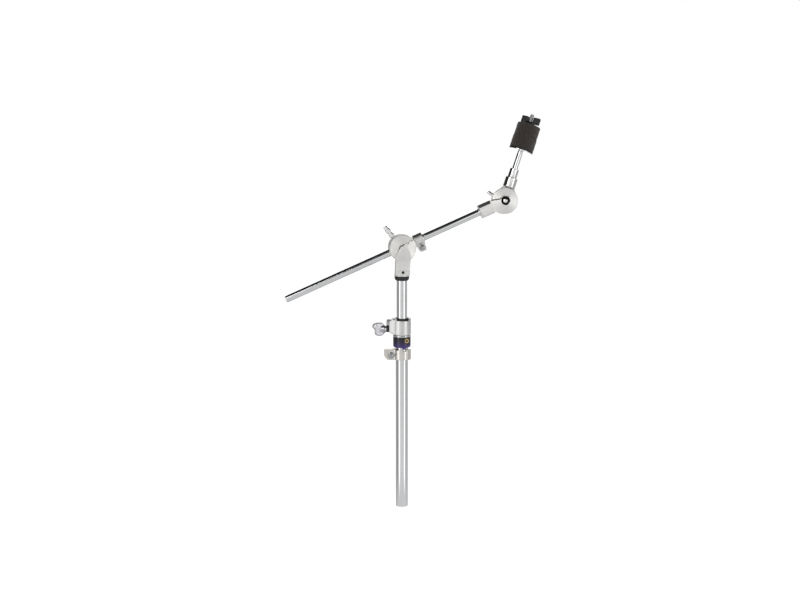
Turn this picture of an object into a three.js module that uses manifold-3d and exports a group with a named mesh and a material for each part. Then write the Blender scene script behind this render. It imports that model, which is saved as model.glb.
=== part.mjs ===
// Cymbal boom stand, top section: a lower tube with a height clamp, a sliding upper tube,
// a boom holder, a knurled boom rod, and a cymbal tilter with a felted post.
// Millimetres, +Z up, the boom lies in the XZ plane and the stand faces -Y.
// The origin is the centre of the lower tube's bottom end.

import * as THREE from 'three';
import { mergeVertices } from 'three/addons/utils/BufferGeometryUtils.js';
import Module from 'manifold-3d';

const wasm = await Module();
wasm.setup();

// ---------- driving dimensions ----------

const GAP = 0.3;              // running clearance between pieces
const SIDES = 24;             // sides of the large round pieces
const DISC_SIDES = 32;        // sides of the holder's and tilter's discs
const ROD_SIDES = 20;         // sides of the boom rod and of what it fits
const SMALL_SIDES = 12;       // sides of bolts, screws and nuts
const degrees = Math.PI / 180;

const LOWER_TUBE = { radius: 11.1, bore: 9.9, top: 318.6 };
const UPPER_TUBE = { radius: 9.53, bore: 8.2, bottom: 165, top: 439.7 };

const TUBE_LOCK = {
  bottom: 269.4, top: 288.1, radius: 16.2, slit: 2, earTip: -31.3, earDepth: 8, topRound: 3, bottomRound: 9,
  screwX: -20.4, screwZ: 277.75, flange: 5.8,
};
const KEY = { left: -1, right: 5, front: -14.6, back: -11.9, depth: 2.4 };     // collar's key in the band
const COLLAR = { bottom: 291.2, top: 310.4, radius: 15.75 };
const BADGE = { angle: 25, height: 304.3, radius: 4, bore: 2.2, front: -16.5, seat: 15 };
const TRIM_RING = { bottom: 310.7, top: 313, radius: 16.3 };
const HOUSING = { bottom: 313.3, top: 343.5, radius: 16.2, lugEnd: 26.5, lugWidth: 17 };
const CLAMP_BUSH = { radius: 11.9, bore: 9.75, bottom: 319.2, splitWidth: 1.2 };
const CLAMP_TURN = 12;        // degrees that the clamp's lug is turned towards the front
const CLAMP_BOLT_Z = 325.5;
const CLAMP_BOLT = {
  shank: 4, hole: 4.3, hub: 6, wingTurn: -5, wingHalfWidth: 12, longWing: 24.6, shortWing: 20.5,
};
const PRESSURE_PAD = { radius: 4, outer: -15.4, inner: -12.5 };
const CLAMP_SCREW = { radius: 2.5, hole: 2.8, headSide: 5.6, flangeDepth: 1.4 };   // memory-lock screws

const HOLDER_Z = 469;         // height of the boom's tilt axis
const DISC_RADIUS = 23.7;     // holder discs
const TUBE_PLUG = { lip: 9.6, lipDepth: 3, length: 18 };
const FERRULE = { bottom: 410.7, top: 418.1, radius: 13.1 };
const STEM = { bottom: 418.4, top: 443.5, radius: 13.4, waist: 12.3 };
const PLATE = { front: -17.6, back: -8.4 };
const TONGUE = { y: -22.6, atZ: 2, lean: 0.15, top: 24, foot: -47.4, flankX: 8.5, flankAngle: 22.8 };
const PIVOT_POCKET = 7.1;     // radius of the pocket behind the holder's disc
const SET_SCREW = { radius: 2.2, height: 426.3, front: -15, back: -9.9, socket: 1.2, socketEnd: -12.8 };
const RING_NUT = { radius: 9, bore: 5.3, front: -12, back: -8.7 };
const LINER = { bore: 9.6, radius: 21, front: -8.1, back: -7.1 };
const DRUM = { front: -6.8, back: 13, bossRadius: 13, bossBack: 18 };

const EYE = { radius: 9.5, front: -6.5, back: 10.7 };
const EYE_BOLT = {
  stub: 5, stubFront: -15.2, groove: 4.2, grooveFront: -13.8, grooveBack: -12.2, shank: 4, tip: 38,
};
const HUB_WASHER = { radius: 8.5, front: 18.3, back: 19.9 };
const HUB_NUT = {
  hub: 8, from: 20.2, height: 13, wingFrom: 22, wingRise: 15, reach: 43.5, shortReach: 17, width: 10, slim: 1,
};

const BOOM_ANGLE = 23.5;      // degrees above horizontal at rest
const BOOM_ROLL = 8;          // degrees that the tilter leans back about the rod
const ROD = { radius: 6.35, axisY: 2, left: -223.8, right: 174.8 };
const ROD_HOLE = ROD.radius + GAP;
const BOOM_LOCK = { left: 24.4, right: 41, radius: 11, earTip: -21.3, screwX: 33.2, screwZ: -14.6 };

const TILTER_X = 200.6;       // tilter pivot's distance from the holder's axis, along the rod
const TILTER_RADIUS = 23.5;
const SOCKET = {
  left: -48.6, right: -25.2, halfHeight: 12.3, front: -13.5, back: 9.5, bevel: 4.4, crease: -1.5,
  topBevel: { depth: 6.5, height: 6 },
};const FRONT_DISC = { front: -11, back: -5 };
const REAR_DISC = { front: -3.4, back: 9.5 };
const PIVOT_BOLT = { shank: 4, head: 4.75, headHeight: 4.6, recess: 7.8, recessDepth: 4.6, tip: 28 };
const TILTER_NUT = {
  hub: 7, from: 11.6, height: 12, wingFrom: 15.6, wingRise: 13.8, reach: 32, shortReach: 14,
  width: 6, slim: 1,
};
const POST_TURN = 42.7;       // degrees from square to the rod to the post

const POST = { axisY: 3, foot: 14.3, shank: 5, shoulder: 92.8, thread: 3.9, tip: 162 };
const POST_COLLAR = { bottom: 25.5, top: 43.4, radius: 11 };
const POST_NUT = { bottom: 43.7, top: 59.8, radius: 8.15 };
const SEAT_WASHER = { bottom: 93.1, top: 94.3, radius: 21 };
const SEAT_CUP = { bottom: 94.6, top: 96.6, radius: 21.6 };
const POST_SLEEVE = { radius: 6, top: 139 };
const LOWER_FELT = { bottom: 96.9, top: 119.4, radius: 21.7 };
const UPPER_FELT = { bottom: 119.7, top: 142.6, radius: 21.1 };
const NUT_WASHER = { bottom: 142.9, top: 144.1, radius: 8.5 };
const CYMBAL_NUT = {
  hub: 6.4, height: 4.2, wingRise: 13.1, reach: 18.5, shortReach: 18.5, width: 6.4, slim: 0,
};

// ---------- materials ----------

const finish = (color, roughness, metalness) => () =>
  new THREE.MeshStandardMaterial({ color, roughness, metalness });
const chrome = finish(0xd8dadc, 0.12, 1);
const satin = finish(0xb9bab8, 0.35, 1);
const zinc = finish(0xc4c5c3, 0.3, 1);
const steel = finish(0x9fa1a3, 0.35, 1);
const blackPlastic = finish(0x141416, 0.5, 0);
const indigoPlastic = finish(0x1a1530, 0.35, 0);
const whiteNylon = finish(0xd9d7cf, 0.5, 0);
const gold = finish(0xc9a254, 0.25, 1);
const darkFelt = finish(0x39332f, 0.95, 0);
const fibre = finish(0x5a4636, 0.8, 0);

// ---------- shape helpers ----------

function solidOf(geometry) {
  const bare = geometry.index ? geometry.toNonIndexed() : geometry.clone();
  bare.deleteAttribute('normal');
  bare.deleteAttribute('uv');
  const merged = mergeVertices(bare, 1e-4);
  const points = merged.attributes.position.array;
  const index = merged.index.array;
  const triangles = [];
  let volume = 0;
  for (let i = 0; i < index.length; i += 3) {
    const [a, b, c] = [index[i], index[i + 1], index[i + 2]];
    if (a === b || b === c || c === a) continue;
    triangles.push(a, b, c);
    const [p, q, r] = [a, b, c].map((k) => new THREE.Vector3().fromArray(points, 3 * k));
    volume += p.dot(q.cross(r));
  }
  if (volume < 0) triangles.reverse();
  const mesh = new wasm.Mesh({
    numProp: 3,
    vertProperties: new Float32Array(points),
    triVerts: new Uint32Array(triangles),
  });
  return new wasm.Manifold(mesh);
}

function geometryOf(solid) {
  const mesh = solid.getMesh();
  const geometry = new THREE.BufferGeometry();
  geometry.setAttribute('position', new THREE.Float32BufferAttribute(mesh.vertProperties, 3));
  geometry.setIndex(Array.from(mesh.triVerts));
  return geometry;
}

function join(...geometries) {
  return geometryOf(geometries.map(solidOf).reduce((sum, next) => sum.add(next)));
}

function cut(geometry, ...tools) {
  return geometryOf(tools.map(solidOf).reduce((rest, tool) => rest.subtract(tool), solidOf(geometry)));
}

function overlapOf(geometry, other) {
  return geometryOf(solidOf(geometry).intersect(solidOf(other)));
}

// A round body about Z; each profile point is [radius, height] and the profile closes on itself
// or starts and ends on the axis.
function turned(profile, sides = SIDES) {
  const points = profile.map(([radius, height]) => new THREE.Vector2(radius, height));
  return new THREE.LatheGeometry(points, sides).rotateX(Math.PI / 2);
}

function pin(radius, from, to, sides = SMALL_SIDES) {
  return turned([[0, from], [radius, from], [radius, to], [0, to]], sides);
}

function ring(bore, radius, from, to, sides = SIDES) {
  return turned([[bore, from], [radius, from], [radius, to], [bore, to], [bore, from]], sides);
}

// A ring whose outer edges are chamfered.
function softRing(bore, radius, from, to, chamfer, sides = SIDES) {
  return turned([
    [bore, from], [radius - chamfer, from], [radius, from + chamfer],
    [radius, to - chamfer], [radius - chamfer, to], [bore, to], [bore, from],
  ], sides);
}

const alongX = (geometry) => geometry.rotateY(Math.PI / 2);
const alongY = (geometry) => geometry.rotateX(-Math.PI / 2);

function outline(points) {
  return new THREE.Shape(points.map(([x, z]) => new THREE.Vector2(x, z)));
}

// A flat plate drawn in XZ and reaching from yFront to yBack.
function plate(shape, yFront, yBack, curveSegments = 8) {
  const options = { depth: yBack - yFront, bevelEnabled: false, curveSegments };
  return new THREE.ExtrudeGeometry(shape, options).rotateX(Math.PI / 2).translate(0, yBack, 0);
}

// A bar drawn in YZ and reaching from xLeft to xRight.
function bar(section, xLeft, xRight) {
  const options = { depth: xRight - xLeft, bevelEnabled: false };
  const geometry = new THREE.ExtrudeGeometry(outline(section), options);
  return geometry.rotateX(Math.PI / 2).rotateZ(Math.PI / 2).translate(xLeft, 0, 0);
}

function box(x0, x1, y0, y1, z0, z1) {
  const geometry = new THREE.BoxGeometry(x1 - x0, y1 - y0, z1 - z0);
  return geometry.translate((x0 + x1) / 2, (y0 + y1) / 2, (z0 + z1) / 2);
}

function addPiece(parent, name, geometry, material) {
  const flat = geometry.index ? geometry : mergeVertices(geometry);
  const mesh = new THREE.Mesh(flat, material());
  mesh.name = name;
  parent.add(mesh);
  return mesh;
}

// One wing of a nut about Z; slim runs from 0, an upright block, to 1, an arm that widens to its tip.
function wing(reach, width, from, to, slim) {
  const rise = (to - from) * 0.45 * (0.35 + 0.65 * slim);
  const notch = to - (to - from) * (0.78 - 0.33 * slim);
  const shoulder = reach * (0.32 + 0.33 * slim);
  const corner = 1.5;
  const shape = outline([
    [0, from], [reach * 0.5, from + rise * 0.3], [reach - corner, from + rise * 0.85],
    [reach, from + rise + corner], [reach, to - corner], [reach - corner, to],
    [shoulder, to], [reach * 0.3, notch], [0, notch],
  ]);
  return plate(shape, -width / 2, width / 2);
}

function wingNut({ bore, hub, from, height, reach, shortReach, width, wingFrom, wingRise, slim }) {
  const top = from + height;
  const wingTop = from + wingRise;
  const body = turned([
    [0, from], [hub, from], [hub, from + height * 0.35],
    [hub * 0.75, top - 1], [hub * 0.75 - 1, top], [0, top],
  ], SMALL_SIDES);
  const long = wing(reach, width, wingFrom, wingTop, slim);
  const short = wing(shortReach, width, wingFrom, wingTop, slim).rotateZ(Math.PI);
  return cut(join(body, long, short), pin(bore, from - 5, top + 5, SMALL_SIDES));
}

// A square-headed clamp screw along Y, head at the front.
function keyScrew(headFront, headBack, tip, flangeRadius) {
  const { radius, headSide, flangeDepth } = CLAMP_SCREW;
  const half = headSide / 2;
  const flangeFront = headBack - flangeDepth;
  const flange = alongY(pin(flangeRadius, flangeFront, headBack));
  const square = box(-half, half, headFront, flangeFront + 0.05, -half, half);
  return join(alongY(pin(radius, headBack - 0.5, tip)), flange, square);
}

// A hexagonal nut along Y.
function hexNut(bore, radius, from, to) {
  return alongY(cut(pin(radius, from, to, 6), pin(bore, from - 1, to + 1)));
}

// ---------- stand tube and height clamp ----------

function lowerTube() {
  const { radius, bore, top } = LOWER_TUBE;
  return ring(bore, radius, 0, top);
}

// The two clamping ears, one plate across the band, rounded strongly at the lower corner.
function tubeLockEars() {
  const { bottom, top, earTip, earDepth, topRound, bottomRound } = TUBE_LOCK;
  const root = -12;
  const shape = new THREE.Shape();
  shape.moveTo(root, bottom);
  shape.lineTo(root, top);
  shape.lineTo(earTip + topRound, top);
  shape.quadraticCurveTo(earTip, top, earTip, top - topRound);
  shape.lineTo(earTip, bottom + bottomRound);
  shape.quadraticCurveTo(earTip, bottom, earTip + bottomRound, bottom);
  shape.closePath();
  return plate(shape, -earDepth, earDepth, 5);
}

function tubeLockBand() {
  const { bottom, top, radius, earTip, screwX, screwZ, slit } = TUBE_LOCK;
  const bore = LOWER_TUBE.radius + GAP;
  const band = softRing(bore - 2, radius, bottom, top, 0.8);
  const tubeBore = pin(bore, bottom - 5, top + 5, SIDES);
  const split = box(earTip - 5, 0, -slit / 2, slit / 2, bottom - 5, top + 5);
  const hole = alongY(pin(CLAMP_SCREW.hole, -20, 20)).translate(screwX, 0, screwZ);
  const keyway = box(KEY.left - 0.6, KEY.right + 0.6, -20, -8, top - 2.6, top + 5);
  return cut(join(band, tubeLockEars()), tubeBore, split, hole, keyway);
}

function clampCollar() {
  const { bottom, top, radius } = COLLAR;
  const bore = LOWER_TUBE.radius + GAP;
  const body = turned([
    [bore, bottom], [radius - 3, bottom], [radius - 0.9, bottom + 0.9], [radius, bottom + 3],
    [radius, top - 0.4], [radius - 0.4, top], [bore, top], [bore, bottom],
  ]);
  const key = box(KEY.left, KEY.right, KEY.front, KEY.back, bottom - KEY.depth, bottom + 1);
  return cut(join(body, key), badgePocket());
}

function onCollarFace(geometry) {
  return geometry.translate(0, 0, BADGE.height).rotateZ(BADGE.angle * degrees);
}

function badgePocket() {
  return onCollarFace(alongY(pin(BADGE.radius + GAP, -20, -BADGE.seat)));
}

function badgeRing() {
  return onCollarFace(alongY(ring(BADGE.bore, BADGE.radius, BADGE.front, -BADGE.seat - GAP, SMALL_SIDES)));
}

function clampTrimRing() {
  const { bottom, top, radius } = TRIM_RING;
  return softRing(LOWER_TUBE.radius + GAP, radius, bottom, top, 0.5);
}

function clampHousing() {
  const { bottom, top, radius, lugEnd, lugWidth } = HOUSING;
  const body = softRing(5, radius, bottom, top, 1.8);
  const lugShape = outline([
    [0, top - 1], [-lugEnd + 5, top - 1], [-lugEnd + 1.4, top - 2.2], [-lugEnd, top - 5.5],
    [-lugEnd, bottom + 8], [-lugEnd + 7, bottom + 2.4], [0, bottom + 2.4],
  ]);
  const lug = plate(lugShape, -lugWidth / 2, lugWidth / 2).rotateZ(CLAMP_TURN * degrees);
  const tubeBore = pin(LOWER_TUBE.radius + GAP, bottom - 5, LOWER_TUBE.top + GAP, SIDES);
  const bushBore = pin(CLAMP_BUSH.radius + GAP, LOWER_TUBE.top, top + 5, SIDES);
  const boltHole = alongX(pin(CLAMP_BOLT.hole, -60, -5))
    .translate(0, 0, CLAMP_BOLT_Z)
    .rotateZ(CLAMP_TURN * degrees);
  const mouthNotch = box(-10.8, 10.8, -30, -6, top - 3.6, top + 5);
  return cut(join(body, lug), tubeBore, bushBore, boltHole, mouthNotch);
}

function clampBush() {
  const { bore, radius, bottom, splitWidth } = CLAMP_BUSH;
  const bush = ring(bore, radius, bottom, HOUSING.top - 0.2);
  const split = box(6, 20, -splitWidth / 2, splitWidth / 2, bottom + 4, HOUSING.top + 5);
  return cut(bush, split);
}

function addClampBolt(parent) {
  const group = new THREE.Group();
  group.rotation.z = CLAMP_TURN * degrees;
  group.position.z = CLAMP_BOLT_Z;
  parent.add(group);
  const face = -HOUSING.lugEnd;
  const { hole, hub: hubRadius, shank: shankRadius, longWing, shortWing, wingTurn } = CLAMP_BOLT;
  const { radius, outer, inner } = PRESSURE_PAD;
  addPiece(group, 'clamp_pressure_pad', alongX(pin(radius, outer, inner)), steel);
  const washer = turned([
    [hole, face - 4.2], [hole + 0.6, face - 4.2], [hole + 1.9, face - 1.4],
    [hole + 1.9, face - GAP], [hole, face - GAP], [hole, face - 4.2],
  ], SMALL_SIDES);
  addPiece(group, 'clamp_bolt_washer', alongX(washer), blackPlastic);
  const hubNear = face - 4.5;
  const hub = turned([
    [0, hubNear - 9.5], [3.4, hubNear - 9], [hubRadius, hubNear - 4], [hubRadius, hubNear], [0, hubNear],
  ], SMALL_SIDES);
  const shank = pin(shankRadius, hubNear - 0.5, outer - GAP);
  const lower = clampWing(hubNear, shortWing);
  const upper = clampWing(hubNear, longWing).rotateZ(Math.PI);
  const bolt = join(hub, shank, lower, upper);
  addPiece(group, 'clamp_wing_bolt', alongX(bolt).rotateX(wingTurn * degrees), chrome);
}

// A wing of the clamp bolt: a broad rounded blade beside the bolt's axis.
function clampWing(near, length) {
  const half = CLAMP_BOLT.wingHalfWidth;
  const thickness = 3.4;
  const shape = new THREE.Shape();
  shape.moveTo(0, near - 1.5);
  shape.lineTo(half * 0.5, near - 1.8);
  shape.quadraticCurveTo(half, near - 3, half, near - 10);
  shape.quadraticCurveTo(half, near - length * 0.9, half * 0.63, near - length);
  shape.quadraticCurveTo(half * 0.3, near - length + 2, 0, near - 17);
  shape.closePath();
  return plate(shape, -thickness / 2, thickness / 2, 5);
}

function addLowerStand(root) {
  addPiece(root, 'lower_tube', lowerTube(), chrome);
  addPiece(root, 'tube_lock_band', tubeLockBand(), zinc);
  const { screwX, screwZ, earDepth, flange } = TUBE_LOCK;
  const screw = keyScrew(-earDepth - 6, -earDepth - GAP, earDepth + 6.8, flange);
  addPiece(root, 'tube_lock_screw', screw.translate(screwX, 0, screwZ), steel);
  const nut = hexNut(CLAMP_SCREW.hole, 5.4, earDepth + GAP, earDepth + 4.2);
  addPiece(root, 'tube_lock_nut', nut.translate(screwX, 0, screwZ), steel);
  addPiece(root, 'clamp_collar', clampCollar(), indigoPlastic);
  addPiece(root, 'badge_ring', badgeRing(), gold);
  addPiece(root, 'clamp_trim_ring', clampTrimRing(), chrome);
  addPiece(root, 'clamp_housing', clampHousing(), satin);
  addPiece(root, 'clamp_bush', clampBush(), blackPlastic);
  addClampBolt(root);
}

// ---------- upper tube and boom bracket ----------

function upperTubePlug() {
  const { bottom, bore } = UPPER_TUBE;
  const { lip, lipDepth, length } = TUBE_PLUG;
  const foot = bottom - lipDepth;
  return turned([
    [0, foot], [lip - 1, foot], [lip, foot + 1], [lip, bottom - GAP], [bore - GAP, bottom - GAP],
    [bore - GAP, bottom + length - 2], [bore - 1.6, bottom + length], [0, bottom + length],
  ]);
}

function upperTube() {
  const { bore, radius, bottom, top } = UPPER_TUBE;
  return ring(bore, radius, bottom, top);
}

function bracketFerrule() {
  const bore = UPPER_TUBE.radius + GAP;
  const { bottom, top, radius } = FERRULE;
  return turned([
    [bore, bottom], [radius - 2.5, bottom], [radius - 0.7, bottom + 1.9], [radius, bottom + 4.3],
    [radius, top], [bore, top], [bore, bottom],
  ]);
}

function atHolder(geometry) {
  return geometry.translate(0, 0, HOLDER_Z);
}

// Outline of the raised tongue that climbs from the stem across the disc's lower right half.
function tongueShape() {
  const shape = new THREE.Shape();
  shape.moveTo(-13.2, -27);
  shape.lineTo(-15.6, -17.6);
  shape.quadraticCurveTo(-11, -9, -6.6, -1);
  shape.quadraticCurveTo(-5.4, 3.4, -0.5, 4.6);
  shape.lineTo(3.9, 9);
  shape.lineTo(7, 5.6);
  shape.lineTo(9.4, 9.6);
  shape.quadraticCurveTo(12, 13.4, 15.6, 12.4);
  shape.lineTo(18.4, 16);
  shape.lineTo(30, 26);
  shape.lineTo(40, -27);
  shape.closePath();
  return shape;
}

// The tongue with the apron below it: one sloping front face, cut back on the right.
function bracketFront() {
  const { y, atZ, lean, top, foot, flankX, flankAngle } = TONGUE;
  const faceAt = (z) => y - lean * (z - atZ);
  const proud = y - 5;
  const disc = alongY(pin(DISC_RADIUS - 0.6, proud, PLATE.front + 2, DISC_SIDES));
  const tongue = overlapOf(disc, plate(tongueShape(), proud, PLATE.front + 2));
  const neckZ = -26;
  const overDisc = outline([
    [-13.2, -12], [-12.9, -20], [-12.5, neckZ], [12.5, neckZ], [12.9, -20], [13.2, -12],
  ]);
  const overStem = outline([
    [-12.5, neckZ + 1], [-12.1, -32], [-12.7, -43], [-12.9, foot],
    [12.9, foot], [12.7, -43], [12.1, -32], [12.5, neckZ + 1],
  ]);
  const apron = join(plate(overDisc, proud, PLATE.back), plate(overStem, proud, -2));
  const slope = bar([[faceAt(top), top], [faceAt(foot), foot], [0, foot], [0, top]], -30, 30);
  const flank = box(-40, 40, -30, 0, -60, 60).rotateZ(flankAngle * degrees).translate(flankX, y, 0);
  return cut(overlapOf(join(tongue, apron), slope), flank);
}

function bracketCasting() {
  const { bottom, top, radius, waist } = STEM;
  const stem = turned([
    [0, bottom], [radius - 0.6, bottom], [radius + 0.2, bottom + 0.6], [radius + 0.2, bottom + 2.4],
    [radius - 0.2, bottom + 3], [radius - 0.4, bottom + 8], [waist, bottom + 18],
    [waist + 0.6, top], [0, top],
  ]);
  const disc = alongY(turned([
    [0, PLATE.front], [DISC_RADIUS - 0.8, PLATE.front], [DISC_RADIUS, PLATE.front + 0.8],
    [DISC_RADIUS, PLATE.back], [0, PLATE.back],
  ], DISC_SIDES));
  const webShape = outline([[-11.5, -40], [11.5, -40], [13.8, -20], [8, -8], [-8, -8], [-13.8, -20]]);
  const web = plate(webShape, PLATE.front, PLATE.back);
  const body = join(stem, ...[disc, web, bracketFront()].map(atHolder));
  const tubeSocket = pin(UPPER_TUBE.radius + GAP, bottom - 5, UPPER_TUBE.top + GAP, SIDES);
  const ringNutSeat = atHolder(alongY(pin(RING_NUT.radius + GAP, RING_NUT.front - GAP, PLATE.back + 5)));
  const pivotPocket = atHolder(alongY(pin(PIVOT_POCKET, PLATE.front + 2, PLATE.back + 5)));
  const setScrewHole = alongY(pin(SET_SCREW.radius + GAP, -30, -5)).translate(0, 0, SET_SCREW.height);
  return cut(body, tubeSocket, ringNutSeat, pivotPocket, setScrewHole);
}

function bracketSetScrew() {
  const { radius, height, front, back, socket, socketEnd } = SET_SCREW;
  const body = alongY(pin(radius, front, back));
  const hexSocket = alongY(pin(socket, front - 5, socketEnd, 6));
  return cut(body, hexSocket).translate(0, 0, height);
}

function addBracket(root) {
  addPiece(root, 'upper_tube_plug', upperTubePlug(), blackPlastic);
  addPiece(root, 'upper_tube', upperTube(), chrome);
  addPiece(root, 'bracket_ferrule', bracketFerrule(), blackPlastic);
  addPiece(root, 'bracket_casting', bracketCasting(), satin);
  addPiece(root, 'bracket_set_screw', bracketSetScrew(), blackPlastic);
  const pivot = new THREE.Group();
  pivot.position.z = HOLDER_Z;
  root.add(pivot);
  const { bore, radius, front, back } = RING_NUT;
  addPiece(pivot, 'hub_ring_nut', alongY(ring(bore, radius, front, back, SMALL_SIDES)), steel);
  addPiece(pivot, 'holder_liner', alongY(ring(LINER.bore, LINER.radius, LINER.front, LINER.back)), fibre);
}

// ---------- tilting hub, boom rod and its memory lock ----------

function boomHub() {
  const { front, back, bossRadius, bossBack } = DRUM;
  const drum = alongY(turned([
    [0, front], [DISC_RADIUS, front], [DISC_RADIUS, back - 2.5], [DISC_RADIUS - 2.5, back],
    [bossRadius + 3, back], [bossRadius, bossBack], [0, bossBack],
  ], DISC_SIDES));
  const rodHole = alongX(pin(ROD_HOLE, -40, 40, ROD_SIDES)).translate(0, ROD.axisY, 0);
  const eyePocket = alongY(pin(EYE.radius + GAP, front - 5, EYE.back + GAP, ROD_SIDES));
  const shankHole = alongY(pin(EYE_BOLT.shank + GAP, 0, bossBack + 5));
  return cut(drum, rodHole, eyePocket, shankHole);
}

function hubEyeBolt() {
  const { stub, stubFront, groove, grooveFront, grooveBack, shank, tip } = EYE_BOLT;
  const body = alongY(turned([
    [0, stubFront], [stub, stubFront], [stub, grooveFront], [groove, grooveFront],
    [groove, grooveBack], [stub, grooveBack],
    [stub, EYE.front], [EYE.radius, EYE.front], [EYE.radius, EYE.back], [shank, EYE.back],
    [shank, tip - 1], [shank - 1, tip], [0, tip],
  ], ROD_SIDES));
  return cut(body, alongX(pin(ROD_HOLE, -40, 40, ROD_SIDES)).translate(0, ROD.axisY, 0));
}

function boomLockBand() {
  const { left, right, radius, earTip, screwX, screwZ } = BOOM_LOCK;
  const band = alongX(softRing(ROD_HOLE - 2, radius, left, right, 0.7, ROD_SIDES));
  const earShape = new THREE.Shape();
  earShape.moveTo(left + 2, -3);
  earShape.lineTo(left + 2, earTip + 4);
  earShape.quadraticCurveTo(left + 2.4, earTip, left + 6, earTip);
  earShape.lineTo(right - 5, earTip);
  earShape.quadraticCurveTo(right - 1.4, earTip, right - 1.2, earTip + 4);
  earShape.lineTo(right - 1.2, -3);
  earShape.closePath();
  const ears = plate(earShape, -7, 7, 5);
  const bore = alongX(pin(ROD_HOLE, left - 5, right + 5, ROD_SIDES));
  const slit = box(left - 5, right + 5, -0.9, 0.9, earTip - 5, 0);
  const hole = alongY(pin(CLAMP_SCREW.hole, -20, 20)).translate(screwX, 0, screwZ);
  return cut(join(band, ears), bore, slit, hole);
}

function boomRod() {
  const { radius, left, right } = ROD;
  return alongX(turned([
    [0, left + 1.2], [radius, left + 1.2], [radius, right - 1], [radius - 1, right], [0, right],
  ], ROD_SIDES));
}

function addHub(tilt) {
  addPiece(tilt, 'boom_hub', boomHub(), satin);
  addPiece(tilt, 'hub_eye_bolt', hubEyeBolt(), steel);
  const { groove, grooveFront, grooveBack, shank } = EYE_BOLT;
  const snapRing = ring(groove + GAP, 6.8, grooveFront + GAP, grooveBack - GAP, SMALL_SIDES);
  addPiece(tilt, 'hub_snap_ring', alongY(snapRing), steel);
  const washer = ring(shank + GAP, HUB_WASHER.radius, HUB_WASHER.front, HUB_WASHER.back, SMALL_SIDES);
  addPiece(tilt, 'hub_washer', alongY(washer), steel);
  const nut = wingNut({ ...HUB_NUT, bore: shank + GAP });
  addPiece(tilt, 'hub_wing_nut', alongY(nut).rotateY(-104 * degrees), chrome);
}

function addBoomLock(tilt) {
  const { screwX, screwZ } = BOOM_LOCK;
  const lock = new THREE.Group();
  lock.position.y = ROD.axisY;
  tilt.add(lock);
  addPiece(lock, 'boom_lock_band', boomLockBand(), zinc);
  addPiece(lock, 'boom_lock_screw', keyScrew(-12.8, -7.3, 13.4, 5).translate(screwX, 0, screwZ), steel);
  addPiece(lock, 'boom_lock_nut', hexNut(CLAMP_SCREW.hole, 5, 7.3, 11).translate(screwX, 0, screwZ), steel);
}

// ---------- cymbal tilter ----------

// The block that takes the rod: a box with bevelled edges and a crease along its front.
function socketBlock() {
  const { left, right, halfHeight: half, front, back, bevel, topBevel, crease } = SOCKET;
  return bar([
    [front + topBevel.depth, half], [front, half - topBevel.height], [front, crease],
    [front + 1.1, -half + bevel], [front + bevel, -half], [back - bevel, -half],
    [back, -half + bevel], [back, half - bevel], [back - bevel, half],
  ], left, right);
}

function tilterSocket() {
  const { left, right, halfHeight, front } = SOCKET;
  const disc = alongY(turned([
    [0, FRONT_DISC.front], [TILTER_RADIUS - 1.5, FRONT_DISC.front], [TILTER_RADIUS, FRONT_DISC.front + 1.5],
    [TILTER_RADIUS, FRONT_DISC.back], [0, FRONT_DISC.back],
  ], DISC_SIDES));
  const armShape = outline([
    [right - 1, halfHeight - 0.4], [-8, 6.4], [0, 8.6], [8, 4], [8, -4], [0, -8.6], [-8, -9],
    [right - 1, -halfHeight + 0.4],
  ]);
  const arm = plate(armShape, front, FRONT_DISC.back);
  const rodBore = alongX(pin(ROD_HOLE, left - 5, right + 5, ROD_SIDES));
  const rodEnd = box(right, 30, FRONT_DISC.back, 30, -30, 30);
  const recess = alongY(pin(PIVOT_BOLT.recess, -30, front + PIVOT_BOLT.recessDepth));
  const shankHole = alongY(pin(PIVOT_BOLT.shank + GAP, -30, 30));
  const pinHole = pin(SOCKET_PIN.radius + GAP, -30, 30).translate(SOCKET_PIN.x, 0, 0);
  return cut(join(disc, socketBlock(), arm), rodBore, rodEnd, recess, shankHole, pinHole);
}

const SOCKET_PIN = { x: -38, radius: 2, halfLength: 11.6 };

function boomRodWithPinHole() {
  const hole = pin(SOCKET_PIN.radius + GAP, -30, 30).translate(TILTER_X + SOCKET_PIN.x, 0, 0);
  return cut(boomRod(), hole);
}

function tilterBody() {
  const { front, back } = REAR_DISC;
  const radius = TILTER_RADIUS - 0.4;
  const disc = alongY(turned([
    [0, front], [radius, front], [radius, back - 1.5], [radius - 1.5, back], [0, back],
  ], DISC_SIDES));
  const neckTop = POST_COLLAR.bottom - GAP;
  const neckShape = outline([[-radius + 1, 4], [-10.6, neckTop], [10.6, neckTop], [radius - 1, 4]]);
  const neck = plate(neckShape, front, back);
  const postHole = pin(POST.shank + GAP, POST.foot - GAP, 60).translate(0, POST.axisY, 0);
  return cut(join(disc, neck), postHole, alongY(pin(PIVOT_BOLT.shank + GAP, -30, 30)));
}

function tilterPivotBolt() {
  const { shank, head, headHeight, recessDepth, tip } = PIVOT_BOLT;
  const seat = SOCKET.front + recessDepth - GAP;
  return alongY(turned([
    [0, seat - headHeight], [2, seat - 4.3], [3.8, seat - 3.4], [head, seat - 2], [head, seat], [shank, seat],
    [shank, tip - 1], [shank - 1, tip], [0, tip],
  ], 24));
}

function addTilterBody(turn) {
  const post = new THREE.Group();
  post.rotation.y = POST_TURN * degrees;
  turn.add(post);
  addPiece(post, 'tilter_body', tilterBody(), satin);
  return post;
}

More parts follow.
